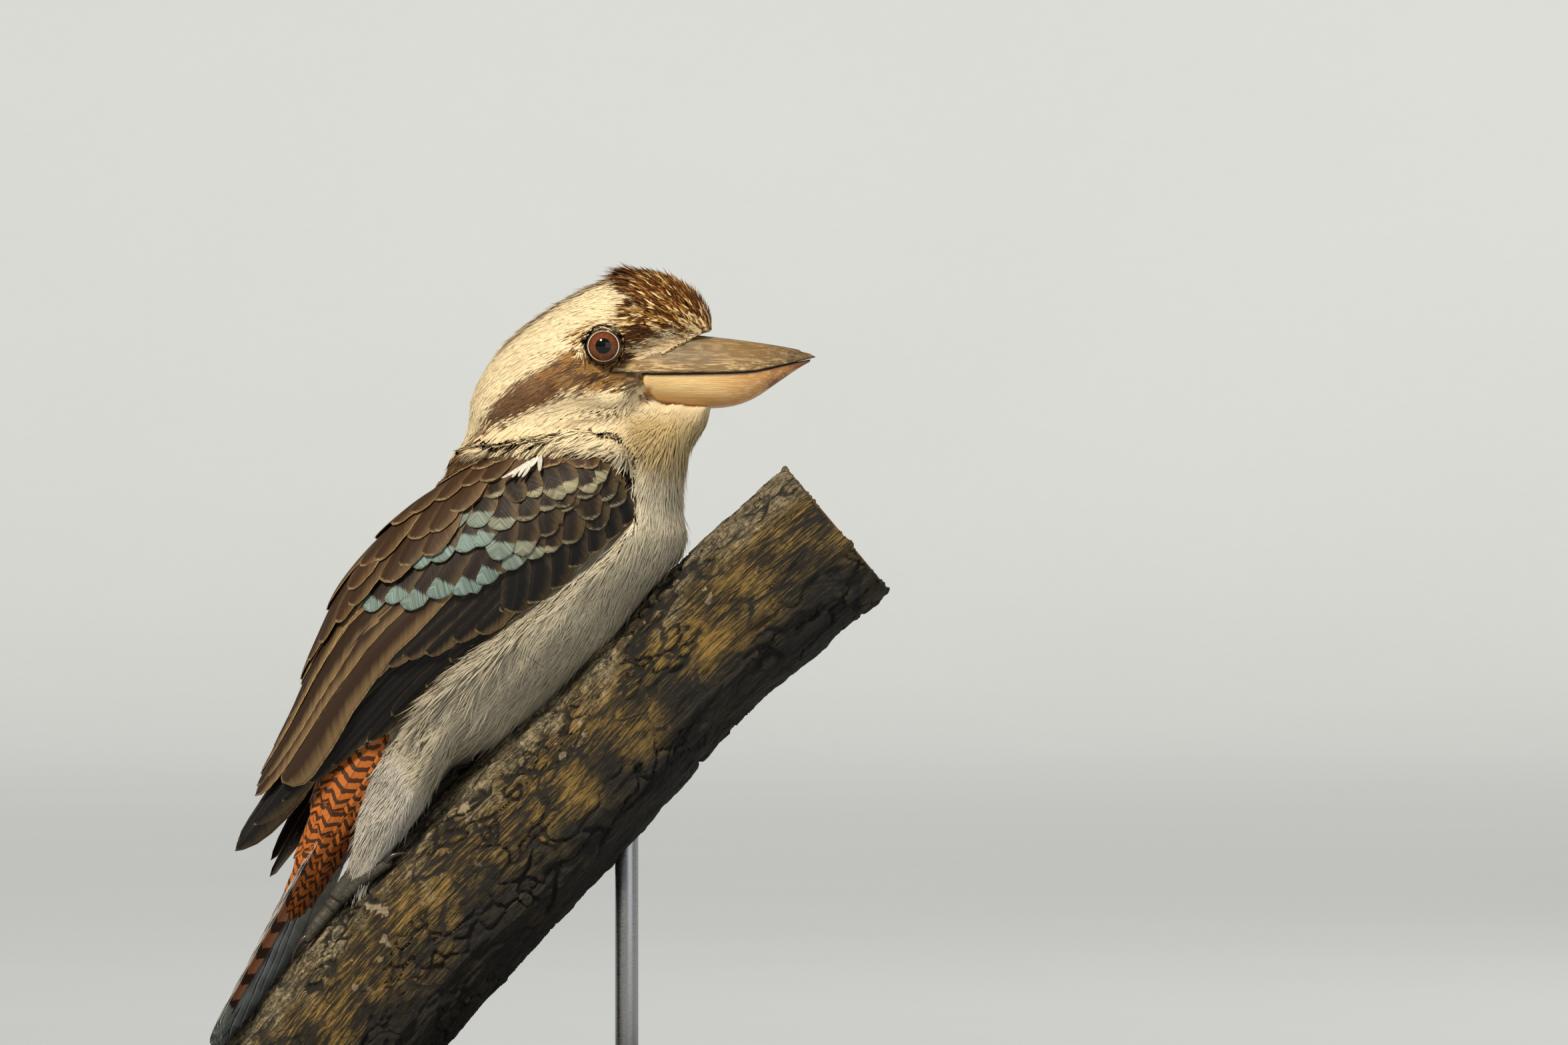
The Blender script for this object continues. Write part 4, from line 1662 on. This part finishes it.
# The rims of an eye: radius, thickness and how far before the face.
EYE_RIMS = {"ring": (6.55, 0.22, 0.05), "lid": (6.95, 0.36, -0.3)}


def eye_material(eye):
    """Iris, pupil and dark rim by the distance from the eye's axis, under a clear wet coat."""
    material, w = new_material("eye", roughness=0.06, Specular_IOR_Level=0.35)
    centred = w.stretched(w.place(), (1, 0, 1), location=(-EYE["x"] * MM, 0, -EYE["z"] * MM))
    radius = w.node("ShaderNodeVectorMath", {0: centred}, operation="LENGTH").outputs["Value"]
    rays = w.noise(w.stretched(centred, (1500, 0, 1500)), 1.0, 4.0, 0.7)
    bright = w.mix(w.ramp(rays, 0.3, 0.75), eye.iris * 0.55, eye.iris * 1.7)
    rim = w.ramp(radius, 0.0047, 0.0066)
    tone = w.mix(w.mul(rim, 0.82), bright, eye.iris * 0.25)
    inner = w.ramp(radius, eye.pupil + 0.0002, eye.pupil - 0.0001)
    tone = w.mix(inner, tone, PUPIL_TONE)
    w.show(tone)
    return material


class KOOKABURRA_OT_eyes(bpy.types.Operator):
    """Make both eyes with their lids and pale rings"""

    bl_idname = "kookaburra.eyes"
    bl_label = "Eyes"

    def execute(self, context):
        eye = context.scene.kookaburra_eye
        ball_material = eye_material(eye)
        ring, _ = mottled("eye ring", eye.ring, 300.0, 2600.0, 0.3, roughness=0.55)
        lid, _ = mottled("eye lid", eye.lid, 300.0, 2600.0, 0.4, (0.6, 0.0003), roughness=0.5)
        materials = {"ring": ring, "lid": lid}
        for side, sign in (("right", -1), ("left", 1)):
            centre = np.array([EYE["x"], sign * (EYE["face"] - EYE["inset"]), EYE["z"]])
            ball = primitive(
                "uv_sphere", f"eye_{side}_ball", segments=48, ring_count=32, radius=EYE["radius"] * MM,
                location=centre * MM, rotation=(math.pi / 2, 0, 0),
            )
            points = positions(ball.data)
            front = np.clip(sign * (points[:, 1] - centre[1]) / EYE["radius"], 0, 1)
            points[:, 1] += sign * 0.5 * soft_step(0.72, 0.98, front)
            set_positions(ball.data, points)
            bpy.ops.object.shade_smooth()
            finish_piece(ball, ball_material, "eye", f"eye_{side}")
            for part, (radius, thick, out) in EYE_RIMS.items():
                made = primitive(
                    "torus", f"eye_{side}_{part}", major_radius=radius * MM, minor_radius=thick * MM,
                    major_segments=64, minor_segments=12, rotation=(math.pi / 2, 0, 0),
                    location=Vector((centre[0], sign * (EYE["face"] + out), centre[2])) * MM,
                )
                points = positions(made.data)
                rough = 0.22 * noise_at(points, 1.6, 9) * (part == "lid")
                points[:, 1] += sign * rough
                points[:, 2] = centre[2] + (points[:, 2] - centre[2]) * 0.97
                set_positions(made.data, points)
                bpy.ops.object.shade_smooth()
                finish_piece(made, materials[part], "eye")
        return {"FINISHED"}


# Perch geometry
def perch_spline():
    """Points and directions along the middle of the perch, as the solids' curve runs."""
    line = np.array([PERCH_LINE["x"], PERCH_LINE["z"]], float).T
    padded = np.vstack([2 * line[0] - line[1], line, 2 * line[-1] - line[-2]])
    steps = 40
    found, radii = [], []
    for i in range(len(line) - 1):
        p0, p1, p2, p3 = padded[i : i + 4]
        gap = [max(np.linalg.norm(b - a) ** 0.5, 1e-6) for a, b in ((p0, p1), (p1, p2), (p2, p3))]
        m1 = (p2 - p1) + gap[1] * ((p1 - p0) / gap[0] - (p2 - p0) / (gap[0] + gap[1]))
        m2 = (p2 - p1) + gap[1] * ((p3 - p2) / gap[2] - (p3 - p1) / (gap[1] + gap[2]))
        for k in range(steps):
            t = k / steps
            found.append(hermite(t, p1, m1, p2, m2))
            radii.append(PERCH_LINE["r"][i] * (1 - t) + PERCH_LINE["r"][i + 1] * t)
    found.append(line[-1])
    radii.append(PERCH_LINE["r"][-1])
    found = np.array(found)
    way = unit(np.gradient(found, axis=0))
    passed = np.concatenate([[0], np.cumsum(np.linalg.norm(np.diff(found, axis=0), axis=1))])
    return found, way, np.array(radii), passed


SPLINE, SPLINE_WAY, SPLINE_RADIUS, SPLINE_PASSED = perch_spline()


def on_perch(share, turn, grow):
    """A point on the perch's skin or grow above it. Turn 0 is the top, and a positive turn leans to -Y."""
    at = np.asarray(share, float) * (len(SPLINE) - 1)
    i = np.clip(at.astype(int), 0, len(SPLINE) - 2)
    rest = (at - i)[..., None]
    middle = SPLINE[i] * (1 - rest) + SPLINE[i + 1] * rest
    way = unit(SPLINE_WAY[i] * (1 - rest) + SPLINE_WAY[i + 1] * rest)
    radius = SPLINE_RADIUS[i] * (1 - rest[..., 0]) + SPLINE_RADIUS[i + 1] * rest[..., 0] + grow
    rise = radius * np.cos(turn)
    x, z = middle[..., 0] - way[..., 1] * rise, middle[..., 1] + way[..., 0] * rise
    return np.stack([x, -radius * np.sin(turn), z], axis=-1)


# Feet
FOOT = {"right": (0.155, 0.36), "left": (0.262, -0.4)}
TOES = [(-0.42, 19, 8), (0.02, 27, 9), (0.34, 24, 8), (3.1, 15, 9.5)]
TOE_THICK = {"t": [0, 0.3, 0.65, 1.0], "r": [3.2, 2.7, 2.8, 1.8]}
SCUTE = 2.1
TOE_ROLL = 36.5


def toe_point(side, along, across, grow):
    share, turn = FOOT[side]
    way = share + along / SPLINE_PASSED[-1]
    round_it = across / TOE_ROLL
    return on_perch(way, turn + (round_it if side == "right" else -round_it), grow)


def tube(centres, radii, ridge=None):
    """Places a round tube along centres(v), with an optional ridge(turn, v) added to its radius."""
    def place(u, v):
        step = 0.01
        middle = centres(v)
        way = unit(centres(np.clip(v + step, 0, 1)) - centres(np.clip(v - step, 0, 1)))
        side = unit(np.cross(np.array([0.0, 1.0, 0.0]), way))
        up = np.cross(way, side)
        turn = 2 * math.pi * u
        shut = np.sqrt(np.clip(np.minimum(v, 1 - v) / 0.06, 0.0, 1))
        radius = (radii(v) + (ridge(turn, v) if ridge else 0)) * shut
        return middle + side * (radius * np.cos(turn))[:, None] + up * (radius * np.sin(turn))[:, None]
    return place


def shank(side):
    ankle = np.array(LEGS[side]["ankle"], float)
    knee = np.array(LEGS[side]["knee"], float)
    pad = toe_point(side, 0.0, 0.0, 4.4)
    start = ankle + (knee - ankle) * 0.3

    def centres(v):
        v = np.asarray(v)[:, None]
        return start + (pad - start) * v

    ridge = lambda turn, v: 0.22 * np.abs(np.sin(v * 26)) * (np.sin(turn) > -0.2)
    return wrapped_grid(f"shank_{side}", 24, 40, tube(centres, lambda v: 3.0 + 1.2 * v**3, ridge))


def toe(side, i, lean, long):
    def centres(v):
        reach = (long + 5) * v - 4
        grow = read(TOE_THICK, v, "r") + 0.9
        return toe_point(side, reach * np.cos(lean), reach * np.sin(lean), grow)

    ridge = lambda turn, v: 0.25 * np.abs(np.sin(v * long * math.pi / SCUTE)) - 0.1
    thick = lambda v: read(TOE_THICK, v, "r")
    return wrapped_grid(f"toe_{side}_{i}", 20, 60, tube(centres, thick, ridge))


def claw_of(side, i, lean, long, claw):
    def centres(v):
        reach = long - 1.5 + (claw + 0.5) * v
        high = 2.6 + 2.6 * np.sin(math.pi * np.minimum(v * 0.85 + 0.12, 1)) - 1.6 * v
        return toe_point(side, reach * np.cos(lean), reach * np.sin(lean), high)

    return wrapped_grid(f"claw_{side}_{i}", 14, 24, tube(centres, lambda v: 1.75 * (1 - v) ** 0.8 + 0.12))


class KOOKABURRA_OT_feet(bpy.types.Operator):
    """Make the toes with their scales and claws, and the short shanks"""

    bl_idname = "kookaburra.feet"
    bl_label = "Feet"

    def execute(self, context):
        foot = context.scene.kookaburra_foot
        skin, w = mottled("toe scales", foot.scale, 160.0, 1500.0, 0.4, roughness=0.55)
        w.show(w.bump(w.ramp(w.edges(w.place(), 900.0), 0.0, 0.12), 0.6, 0.0003), "Normal")
        horn, _ = mottled("claw horn", foot.claw, 260.0, 1800.0, 0.45, roughness=0.3)
        for side in ("right", "left"):
            parts = [shank(side)]
            claws = []
            for i, (lean, long, claw) in enumerate(TOES):
                parts.append(toe(side, i, lean, long))
                claws.append(claw_of(side, i, lean, long, claw))
            toes, nodes = f"foot_{side}_toes", [f"foot_{side}"]
            for name, pieces, material, nodes in (
                (toes, parts, skin, nodes), (f"foot_{side}_claws", claws, horn, []),
            ):
                deselect()
                for piece in pieces:
                    piece.select_set(True)
                context.view_layer.objects.active = pieces[0]
                bpy.ops.object.join()
                pieces[0].name = pieces[0].data.name = name
                finish_piece(pieces[0], material, "foot_scale", *nodes)
        return {"FINISHED"}


# Perch
def perch_coordinates(points):
    """For each point: how far along the perch, its turn round it, and how far from its middle."""
    flat = points[:, [0, 2]]
    best = np.full(len(points), np.inf)
    nearest = np.zeros(len(points), int)
    for i in range(0, len(SPLINE), 2):
        away = np.hypot(flat[:, 0] - SPLINE[i, 0], flat[:, 1] - SPLINE[i, 1])
        closer = away < best
        best = np.where(closer, away, best)
        nearest = np.where(closer, i, nearest)
    off = flat - SPLINE[nearest]
    way = SPLINE_WAY[nearest]
    along = SPLINE_PASSED[nearest] + (off * way).sum(axis=1)
    rise = off[:, 0] * -way[:, 1] + off[:, 1] * way[:, 0]
    turn = np.arctan2(-points[:, 1], rise)
    return along, turn, np.hypot(points[:, 1], rise)


BARK_RADIUS = 35.0
BARK_GRAIN = 0.0011
# The flat cuts: how high the low one reaches, and a place on the high one with its slope.
CUT_LOW = 30.8
CUT_HIGH = np.array([136.0, 0.0, 251.0])
CUT_WAY = np.array([math.cos(math.radians(40)), 0.0, math.sin(math.radians(40))])
CUT_FACING = 0.97
SOCKET = 20.0
CRACK_TONE = (0.010, 0.008, 0.005)


def bark_relief(along, turn, crack_deep):
    """Height of the bark at each point: plates between cracks, fibres along the branch, and lumps."""
    heights, cracks = np.zeros(len(along)), np.zeros(len(along))
    for i, (s, t) in enumerate(zip(along, turn)):
        y, z = BARK_RADIUS * math.cos(t), BARK_RADIUS * math.sin(t)
        warp = noise.noise(Vector((s / 16, y / 9, z / 9)))
        bend = noise.noise(Vector((s / 7 + 20, y / 6, z / 6)))
        spot = Vector(((s + 14 * warp + 4 * bend) / 38, (y + 7 * warp) / 14, (z + 7 * bend) / 14))
        near = noise.voronoi(spot)[0]
        fade = 0.5 + 0.8 * noise.noise(Vector((s / 40 + 9, y / 24, z / 24)))
        shown = min(1, max(0, (fade - 0.3) * 3.0))
        crack = max(0.0, 1 - (near[1] - near[0]) / 0.11) * shown
        grain = noise.fractal(Vector(((s + 5 * warp) / 15, y / 1.5, z / 1.5)), 0.7, 2.1, 4)
        lump = noise.fractal(Vector((s / 26 + 3, y / 13, z / 13)), 0.9, 2.1, 4)
        plate = noise.noise(Vector((s / 17 + 31, y / 6, z / 6)))
        plate = min(0.5, max(-0.5, plate * 5)) * 0.9
        heights[i] = 0.55 * grain + 0.9 * lump + plate - crack_deep * crack
        cracks[i] = crack
    return heights, cracks


def splits(w, bark_map, scale, wide, wander):
    """Thin wandering cracks between plates of this scale, shown only in places."""
    plain = w.stretched(bark_map, scale)
    bend = w.noise(plain, 2.2, 4.0, 0.5, output="Color")
    shifted = w.node("ShaderNodeVectorMath", {0: plain, 1: bend}, operation="ADD").outputs[0]
    moved = w.node("ShaderNodeMix", {0: wander, 4: plain, 5: shifted}, data_type="VECTOR").outputs[1]
    shown = w.ramp(w.noise(plain, 0.55, 2.0), 0.42, 0.56)
    return w.mul(w.ramp(w.edges(moved, 1.0), wide, wide * 0.25), shown)


def bark_material(perch):
    material, w = new_material("bark", roughness=0.85)
    bark_map = w.uv("Bark")
    fibre = w.noise(w.stretched(bark_map, (26, 420, 1)), 1.0, 6.0, 0.72, 0.5)
    thread = w.noise(w.stretched(bark_map, (60, 1300, 1)), 1.0, 3.0, 0.7, 0.4)
    patch = w.noise(w.place(), 38.0, 5.0, 0.6)
    speck = w.noise(w.place(), 520.0, 4.0, 0.7)
    top = w.value("Top")
    split = splits(w, bark_map, (15, 36, 1), 0.075, 0.42)
    fine_split = splits(w, bark_map, (52, 120, 1), 0.09, 0.5)
    uneven = w.mul(w.sub(patch, 0.5), 1.6)
    high = w.ramp(w.add(top, uneven), 0.7, 1.1)
    low = w.ramp(w.add(top, uneven), 0.62, -0.1)
    strands = w.add(w.mul(fibre, 0.62), w.mul(thread, 0.38))
    lit = w.add(strands, w.mul(w.sub(patch, 0.5), 0.35))
    gold = w.mix(w.ramp(lit, 0.46, 0.57), perch.bark * 0.12, perch.bark * 2.1)
    grey = w.mix(w.ramp(w.add(w.mul(strands, 0.6), w.mul(speck, 0.4)), 0.44, 0.58),
                 perch.lichen * 0.2, perch.lichen * 1.9)
    tone = w.mix(w.mul(high, 0.75), gold, grey)
    dark = w.mix(w.ramp(lit, 0.5, 0.66), perch.moss * 0.1, perch.moss * 1.1)
    tone = w.mix(w.mul(low, 0.9), tone, dark)
    spots = w.mul(w.ramp(w.noise(w.place(), 120.0, 3.0, 0.5), 0.63, 0.67), w.ramp(top, 0.3, 0.8))
    tone = w.mix(w.mul(spots, 0.8), tone, colour("#b8a483"))
    crack = w.ramp(w.value("Crack"), 0.15, 0.7)
    crack = w.most(crack, w.most(split, w.mul(fine_split, 0.4)))
    tone = w.mix(w.mul(crack, 0.94), tone, CRACK_TONE)
    given = {"Vector": bark_map, "Scale": 60.0, "Distortion": 2.5}
    rings = w.node("ShaderNodeTexWave", given, wave_type="RINGS", rings_direction="SPHERICAL")
    sawn = w.mix(w.ramp(rings.outputs["Fac"], 0.1, 0.9), colour("#b08a58"), colour("#8e6a3e"))
    tone = w.mix(w.value("Cut"), tone, sawn)
    w.show(tone)
    relief = w.add(w.mul(strands, 1.4), w.mul(speck, 0.3))
    relief = w.sub(relief, w.mul(crack, 0.9))
    w.show(w.bump(relief, 1.0, 0.0018), "Normal")
    return material


class KOOKABURRA_OT_perch(bpy.types.Operator):
    """Make the cut branch with its cracked bark"""

    bl_idname = "kookaburra.perch"
    bl_label = "Perch"

    def execute(self, context):
        perch = context.scene.kookaburra_perch
        bark = copy_of_nodes("perch_bark", "perch")
        add_modifier(bark, "REMESH", mode="VOXEL", voxel_size=BARK_GRAIN, use_smooth_shade=True)
        add_modifier(bark, "SMOOTH", factor=0.5, iterations=6)
        mesh = bark.data
        points, facing = positions(mesh), normals(mesh)
        along, turn, out = perch_coordinates(points)
        cut = (facing[:, 2] < -CUT_FACING) & (points[:, 2] < CUT_LOW)
        cut |= (facing @ CUT_WAY > CUT_FACING) & ((points - CUT_HIGH) @ CUT_WAY > -1.2)
        skin = ~(cut | (out < SOCKET))
        drop, cracks = bark_relief(along, turn, perch.crack / MM)
        drop = np.where(skin, drop, 0)
        set_positions(mesh, points + facing * drop[:, None])
        number(mesh, "Crack", np.where(skin, cracks, 0))
        number(mesh, "Cut", cut)
        number(mesh, "Top", np.cos(turn - 0.35))
        ring = np.stack([out / 100, np.zeros(len(out))], axis=1)
        wide = np.stack([along / 400, (turn / (2 * math.pi) + 0.5) * 0.55], axis=1)
        map_points(mesh, "Bark", np.where(skin[:, None], wide, ring))
        finish_piece(bark, bark_material(perch), "bark", "perch")
        return {"FINISHED"}


# Stand
BASE = {"long": 280.0, "deep": 180.0, "high": 18.0, "corner": 26.0, "edge": 2.5}
ROD = 5.0
ROD_EDGE = 0.6
SMOOTH_ANGLE = math.radians(35)
PORE_TONE = (0.006, 0.004, 0.003)


def select_edges(piece, wanted):
    """Leaves the edges for which wanted(a, b) is true selected in edit mode, by their ends in millimetres."""
    make_active(piece)
    to_mode("EDIT")
    bpy.ops.mesh.select_mode(type="EDGE")
    bpy.ops.mesh.select_all(action="DESELECT")
    to_mode("OBJECT")
    points = positions(piece.data)
    for edge in piece.data.edges:
        edge.select = bool(wanted(*(points[v] for v in edge.vertices)))
    to_mode("EDIT")


def level(a, b):
    return abs(a[2] - b[2]) < 0.01


def bevel(piece, wanted, wide, segments):
    """Rounds the wanted edges off."""
    select_edges(piece, wanted)
    bpy.ops.mesh.bevel(offset=wide * MM, segments=segments)
    to_mode("OBJECT")


def wood_material(stand):
    material, w = new_material("stained wood", roughness=0.38, Coat_Weight=0.35, Coat_Roughness=0.18)
    place = w.place()
    grain = w.noise(w.stretched(place, (9, 110, 110)), 1.0, 6.0, 0.65, 0.9)
    pores = w.noise(w.stretched(place, (120, 1800, 1800)), 1.0, 2.0, 0.5)
    tone = w.mix(w.ramp(grain, 0.35, 0.65), stand.wood * 0.55, stand.wood * 1.6)
    tone = w.mix(w.mul(w.ramp(pores, 0.58, 0.7), 0.6), tone, PORE_TONE)
    w.show(tone)
    w.show(w.ramp(pores, 0.3, 0.7, 0.34, 0.5), "Roughness")
    w.show(w.bump(pores, 0.25, 0.0004), "Normal")
    return material


def steel_material(stand):
    material, w = new_material("brushed steel", roughness=0.3, Metallic=1.0)
    lines = w.noise(w.stretched(w.place(), (400, 400, 9000)), 1.0, 2.0, 0.6)
    tone = w.mix(w.ramp(lines, 0.3, 0.7), stand.steel * 0.75, stand.steel)
    w.show(tone)
    w.show(w.ramp(lines, 0.3, 0.7, 0.24, 0.42), "Roughness")
    w.show(w.bump(lines, 0.12, 0.0002), "Normal")
    return material


class KOOKABURRA_OT_stand(bpy.types.Operator):
    """Make the wooden base and the steel rods"""

    bl_idname = "kookaburra.stand"
    bl_label = "Stand"

    def execute(self, context):
        stand = context.scene.kookaburra_stand
        base = primitive("cube", "stand_base_wood", size=1, location=(0, 0, 0.5))
        base.scale = [BASE[size] * MM for size in ("long", "deep", "high")]
        bpy.ops.object.transform_apply()
        bevel(base, lambda a, b: abs(a[2] - b[2]) > BASE["high"] / 2, BASE["corner"], 14)
        bevel(base, level, BASE["edge"], 4)
        bpy.ops.object.shade_smooth_by_angle(angle=SMOOTH_ANGLE)
        finish_piece(base, wood_material(stand), "stand_wood", "stand_base")
        steel = steel_material(stand)
        for name in ("low", "high"):
            low, high = (np.array(corner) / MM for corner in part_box(f"stand_rod_{name}"))
            middle, tall = (low + high) / 2, high[2] - low[2]
            rod = primitive(
                "cylinder", f"stand_rod_{name}_steel", vertices=48, radius=ROD * MM, depth=tall * MM,
                location=middle * MM,
            )
            bevel(rod, level, ROD_EDGE, 3)
            bpy.ops.object.shade_smooth_by_angle(angle=SMOOTH_ANGLE)
            finish_piece(rod, steel, "stand_rod", f"stand_rod_{name}")
        return {"FINISHED"}


# Stage
CAMERA_MIDDLE = (107.4, 260.3)
FLOOR_RADIUS, COVE, WALL = 8.0, 2.5, 0.6


def make_floor(stage):
    """A round floor that rises into a low wall by a wide cove."""
    floor = primitive("circle", "floor", vertices=96, radius=FLOOR_RADIUS, fill_type="NOTHING")
    to_mode("EDIT")
    bpy.ops.mesh.select_mode(type="EDGE")
    bpy.ops.mesh.select_all(action="SELECT")
    steps = 12
    for i in range(steps):
        a, b = (math.pi / 2 * k / steps for k in (i, i + 1))
        out = COVE * (math.sin(b) - math.sin(a))
        up = COVE * (math.cos(a) - math.cos(b))
        radius = FLOOR_RADIUS + COVE * math.sin(a)
        bpy.ops.mesh.extrude_region_move(TRANSFORM_OT_translate={"value": (0, 0, up)})
        grow = (radius + out) / radius
        bpy.ops.transform.resize(value=(grow, grow, 1), center_override=(0, 0, 0))
    bpy.ops.mesh.extrude_region_move(TRANSFORM_OT_translate={"value": (0, 0, WALL)})
    to_mode("OBJECT")
    select_edges(floor, lambda a, b: max(a[2], b[2]) < 0.01)
    bpy.ops.mesh.edge_face_add()
    bpy.ops.mesh.select_all(action="SELECT")
    bpy.ops.mesh.normals_make_consistent(inside=True)
    to_mode("OBJECT")
    bpy.ops.object.shade_smooth()
    material, _ = mottled("floor", stage.floor, 2.0, 60.0, 0.02, roughness=0.9)
    floor.data.materials.append(material)


class KOOKABURRA_OT_stage(bpy.types.Operator):
    """Make the camera, the lights, the floor and the backdrop"""

    bl_idname = "kookaburra.stage"
    bl_label = "Stage"

    def execute(self, context):
        stage = context.scene.kookaburra_stage
        scene = context.scene
        data = bpy.data.cameras.new("camera")
        data.lens = stage.lens
        data.sensor_width = 36
        data.clip_start, data.clip_end = 0.1, 100
        camera = bpy.data.objects.new("camera", data)
        camera.location = (CAMERA_MIDDLE[0] * MM, -stage.distance, CAMERA_MIDDLE[1] * MM)
        camera.rotation_euler = (math.pi / 2, 0, 0)
        scene.collection.objects.link(camera)
        scene.camera = camera
        make_floor(stage)
        aim = Vector((0.0, 0.0, 0.22))
        for name, kind, spot, power, tint in (
            ("key", "SUN", (-0.30, -0.68, 0.74), stage.key, (1.0, 0.92, 0.79)),
            ("rim", "AREA", (1.5, 1.5, 1.5), stage.rim, (1.0, 0.97, 0.92)),
            ("low", "AREA", (1.7, -2.5, 0.3), stage.low, (0.98, 0.98, 1.0)),
        ):
            light = bpy.data.lights.new(name, kind)
            light.energy, light.color = power, tint
            if kind == "SUN":
                light.angle = math.radians(14)
            else:
                light.size = 1.0 if name == "rim" else 2.4
            lamp = bpy.data.objects.new(name, light)
            lamp.location = aim + Vector(spot)
            lamp.rotation_euler = (-Vector(spot)).to_track_quat("-Z", "Y").to_euler()
            scene.collection.objects.link(lamp)
        world = bpy.data.worlds.new("studio")
        world.use_nodes = True
        world.node_tree.nodes["Background"].inputs["Color"].default_value = (0.95, 0.97, 1.0, 1)
        world.node_tree.nodes["Background"].inputs["Strength"].default_value = stage.fill
        scene.world = world
        scene.view_settings.view_transform = "Standard"
        return {"FINISHED"}


class KOOKABURRA_PT_panel(bpy.types.Panel):
    """Lists the pieces of the kookaburra"""

    bl_label = "Laughing kookaburra"
    bl_idname = "KOOKABURRA_PT_panel"
    bl_space_type = "VIEW_3D"
    bl_region_type = "UI"
    bl_category = "Kookaburra"

    def draw(self, context):
        for operator in OPERATORS:
            self.layout.operator(operator.bl_idname)
        for name, group in SETTINGS.items():
            box = self.layout.box()
            box.label(text=name.replace("kookaburra_", "").title())
            for key in group.__annotations__:
                box.prop(getattr(context.scene, name), key)


SETTINGS = {
    "kookaburra_coat": CoatSettings,
    "kookaburra_wing": WingSettings,
    "kookaburra_tail": TailSettings,
    "kookaburra_bill": BillSettings,
    "kookaburra_eye": EyeSettings,
    "kookaburra_foot": FootSettings,
    "kookaburra_perch": PerchSettings,
    "kookaburra_stand": StandSettings,
    "kookaburra_stage": StageSettings,
}
OPERATORS = (
    KOOKABURRA_OT_stage, KOOKABURRA_OT_stand, KOOKABURRA_OT_perch, KOOKABURRA_OT_coat, KOOKABURRA_OT_wings,
    KOOKABURRA_OT_tail, KOOKABURRA_OT_bill, KOOKABURRA_OT_eyes, KOOKABURRA_OT_feet,
)


def register():
    for cls in (*SETTINGS.values(), *OPERATORS, KOOKABURRA_PT_panel):
        bpy.utils.register_class(cls)
    for name, group in SETTINGS.items():
        setattr(bpy.types.Scene, name, bpy.props.PointerProperty(type=group))


def unregister():
    for name in SETTINGS:
        delattr(bpy.types.Scene, name)
    for cls in (KOOKABURRA_PT_panel, *reversed(OPERATORS), *reversed(SETTINGS.values())):
        bpy.utils.unregister_class(cls)


def main():
    register()
    bpy.ops.kookaburra.stage()
    bpy.ops.kookaburra.stand()
    bpy.ops.kookaburra.perch()
    bpy.ops.kookaburra.coat()
    bpy.ops.kookaburra.wings()
    bpy.ops.kookaburra.tail()
    bpy.ops.kookaburra.bill()
    bpy.ops.kookaburra.eyes()
    bpy.ops.kookaburra.feet()


if __name__ == "__main__":
    main()
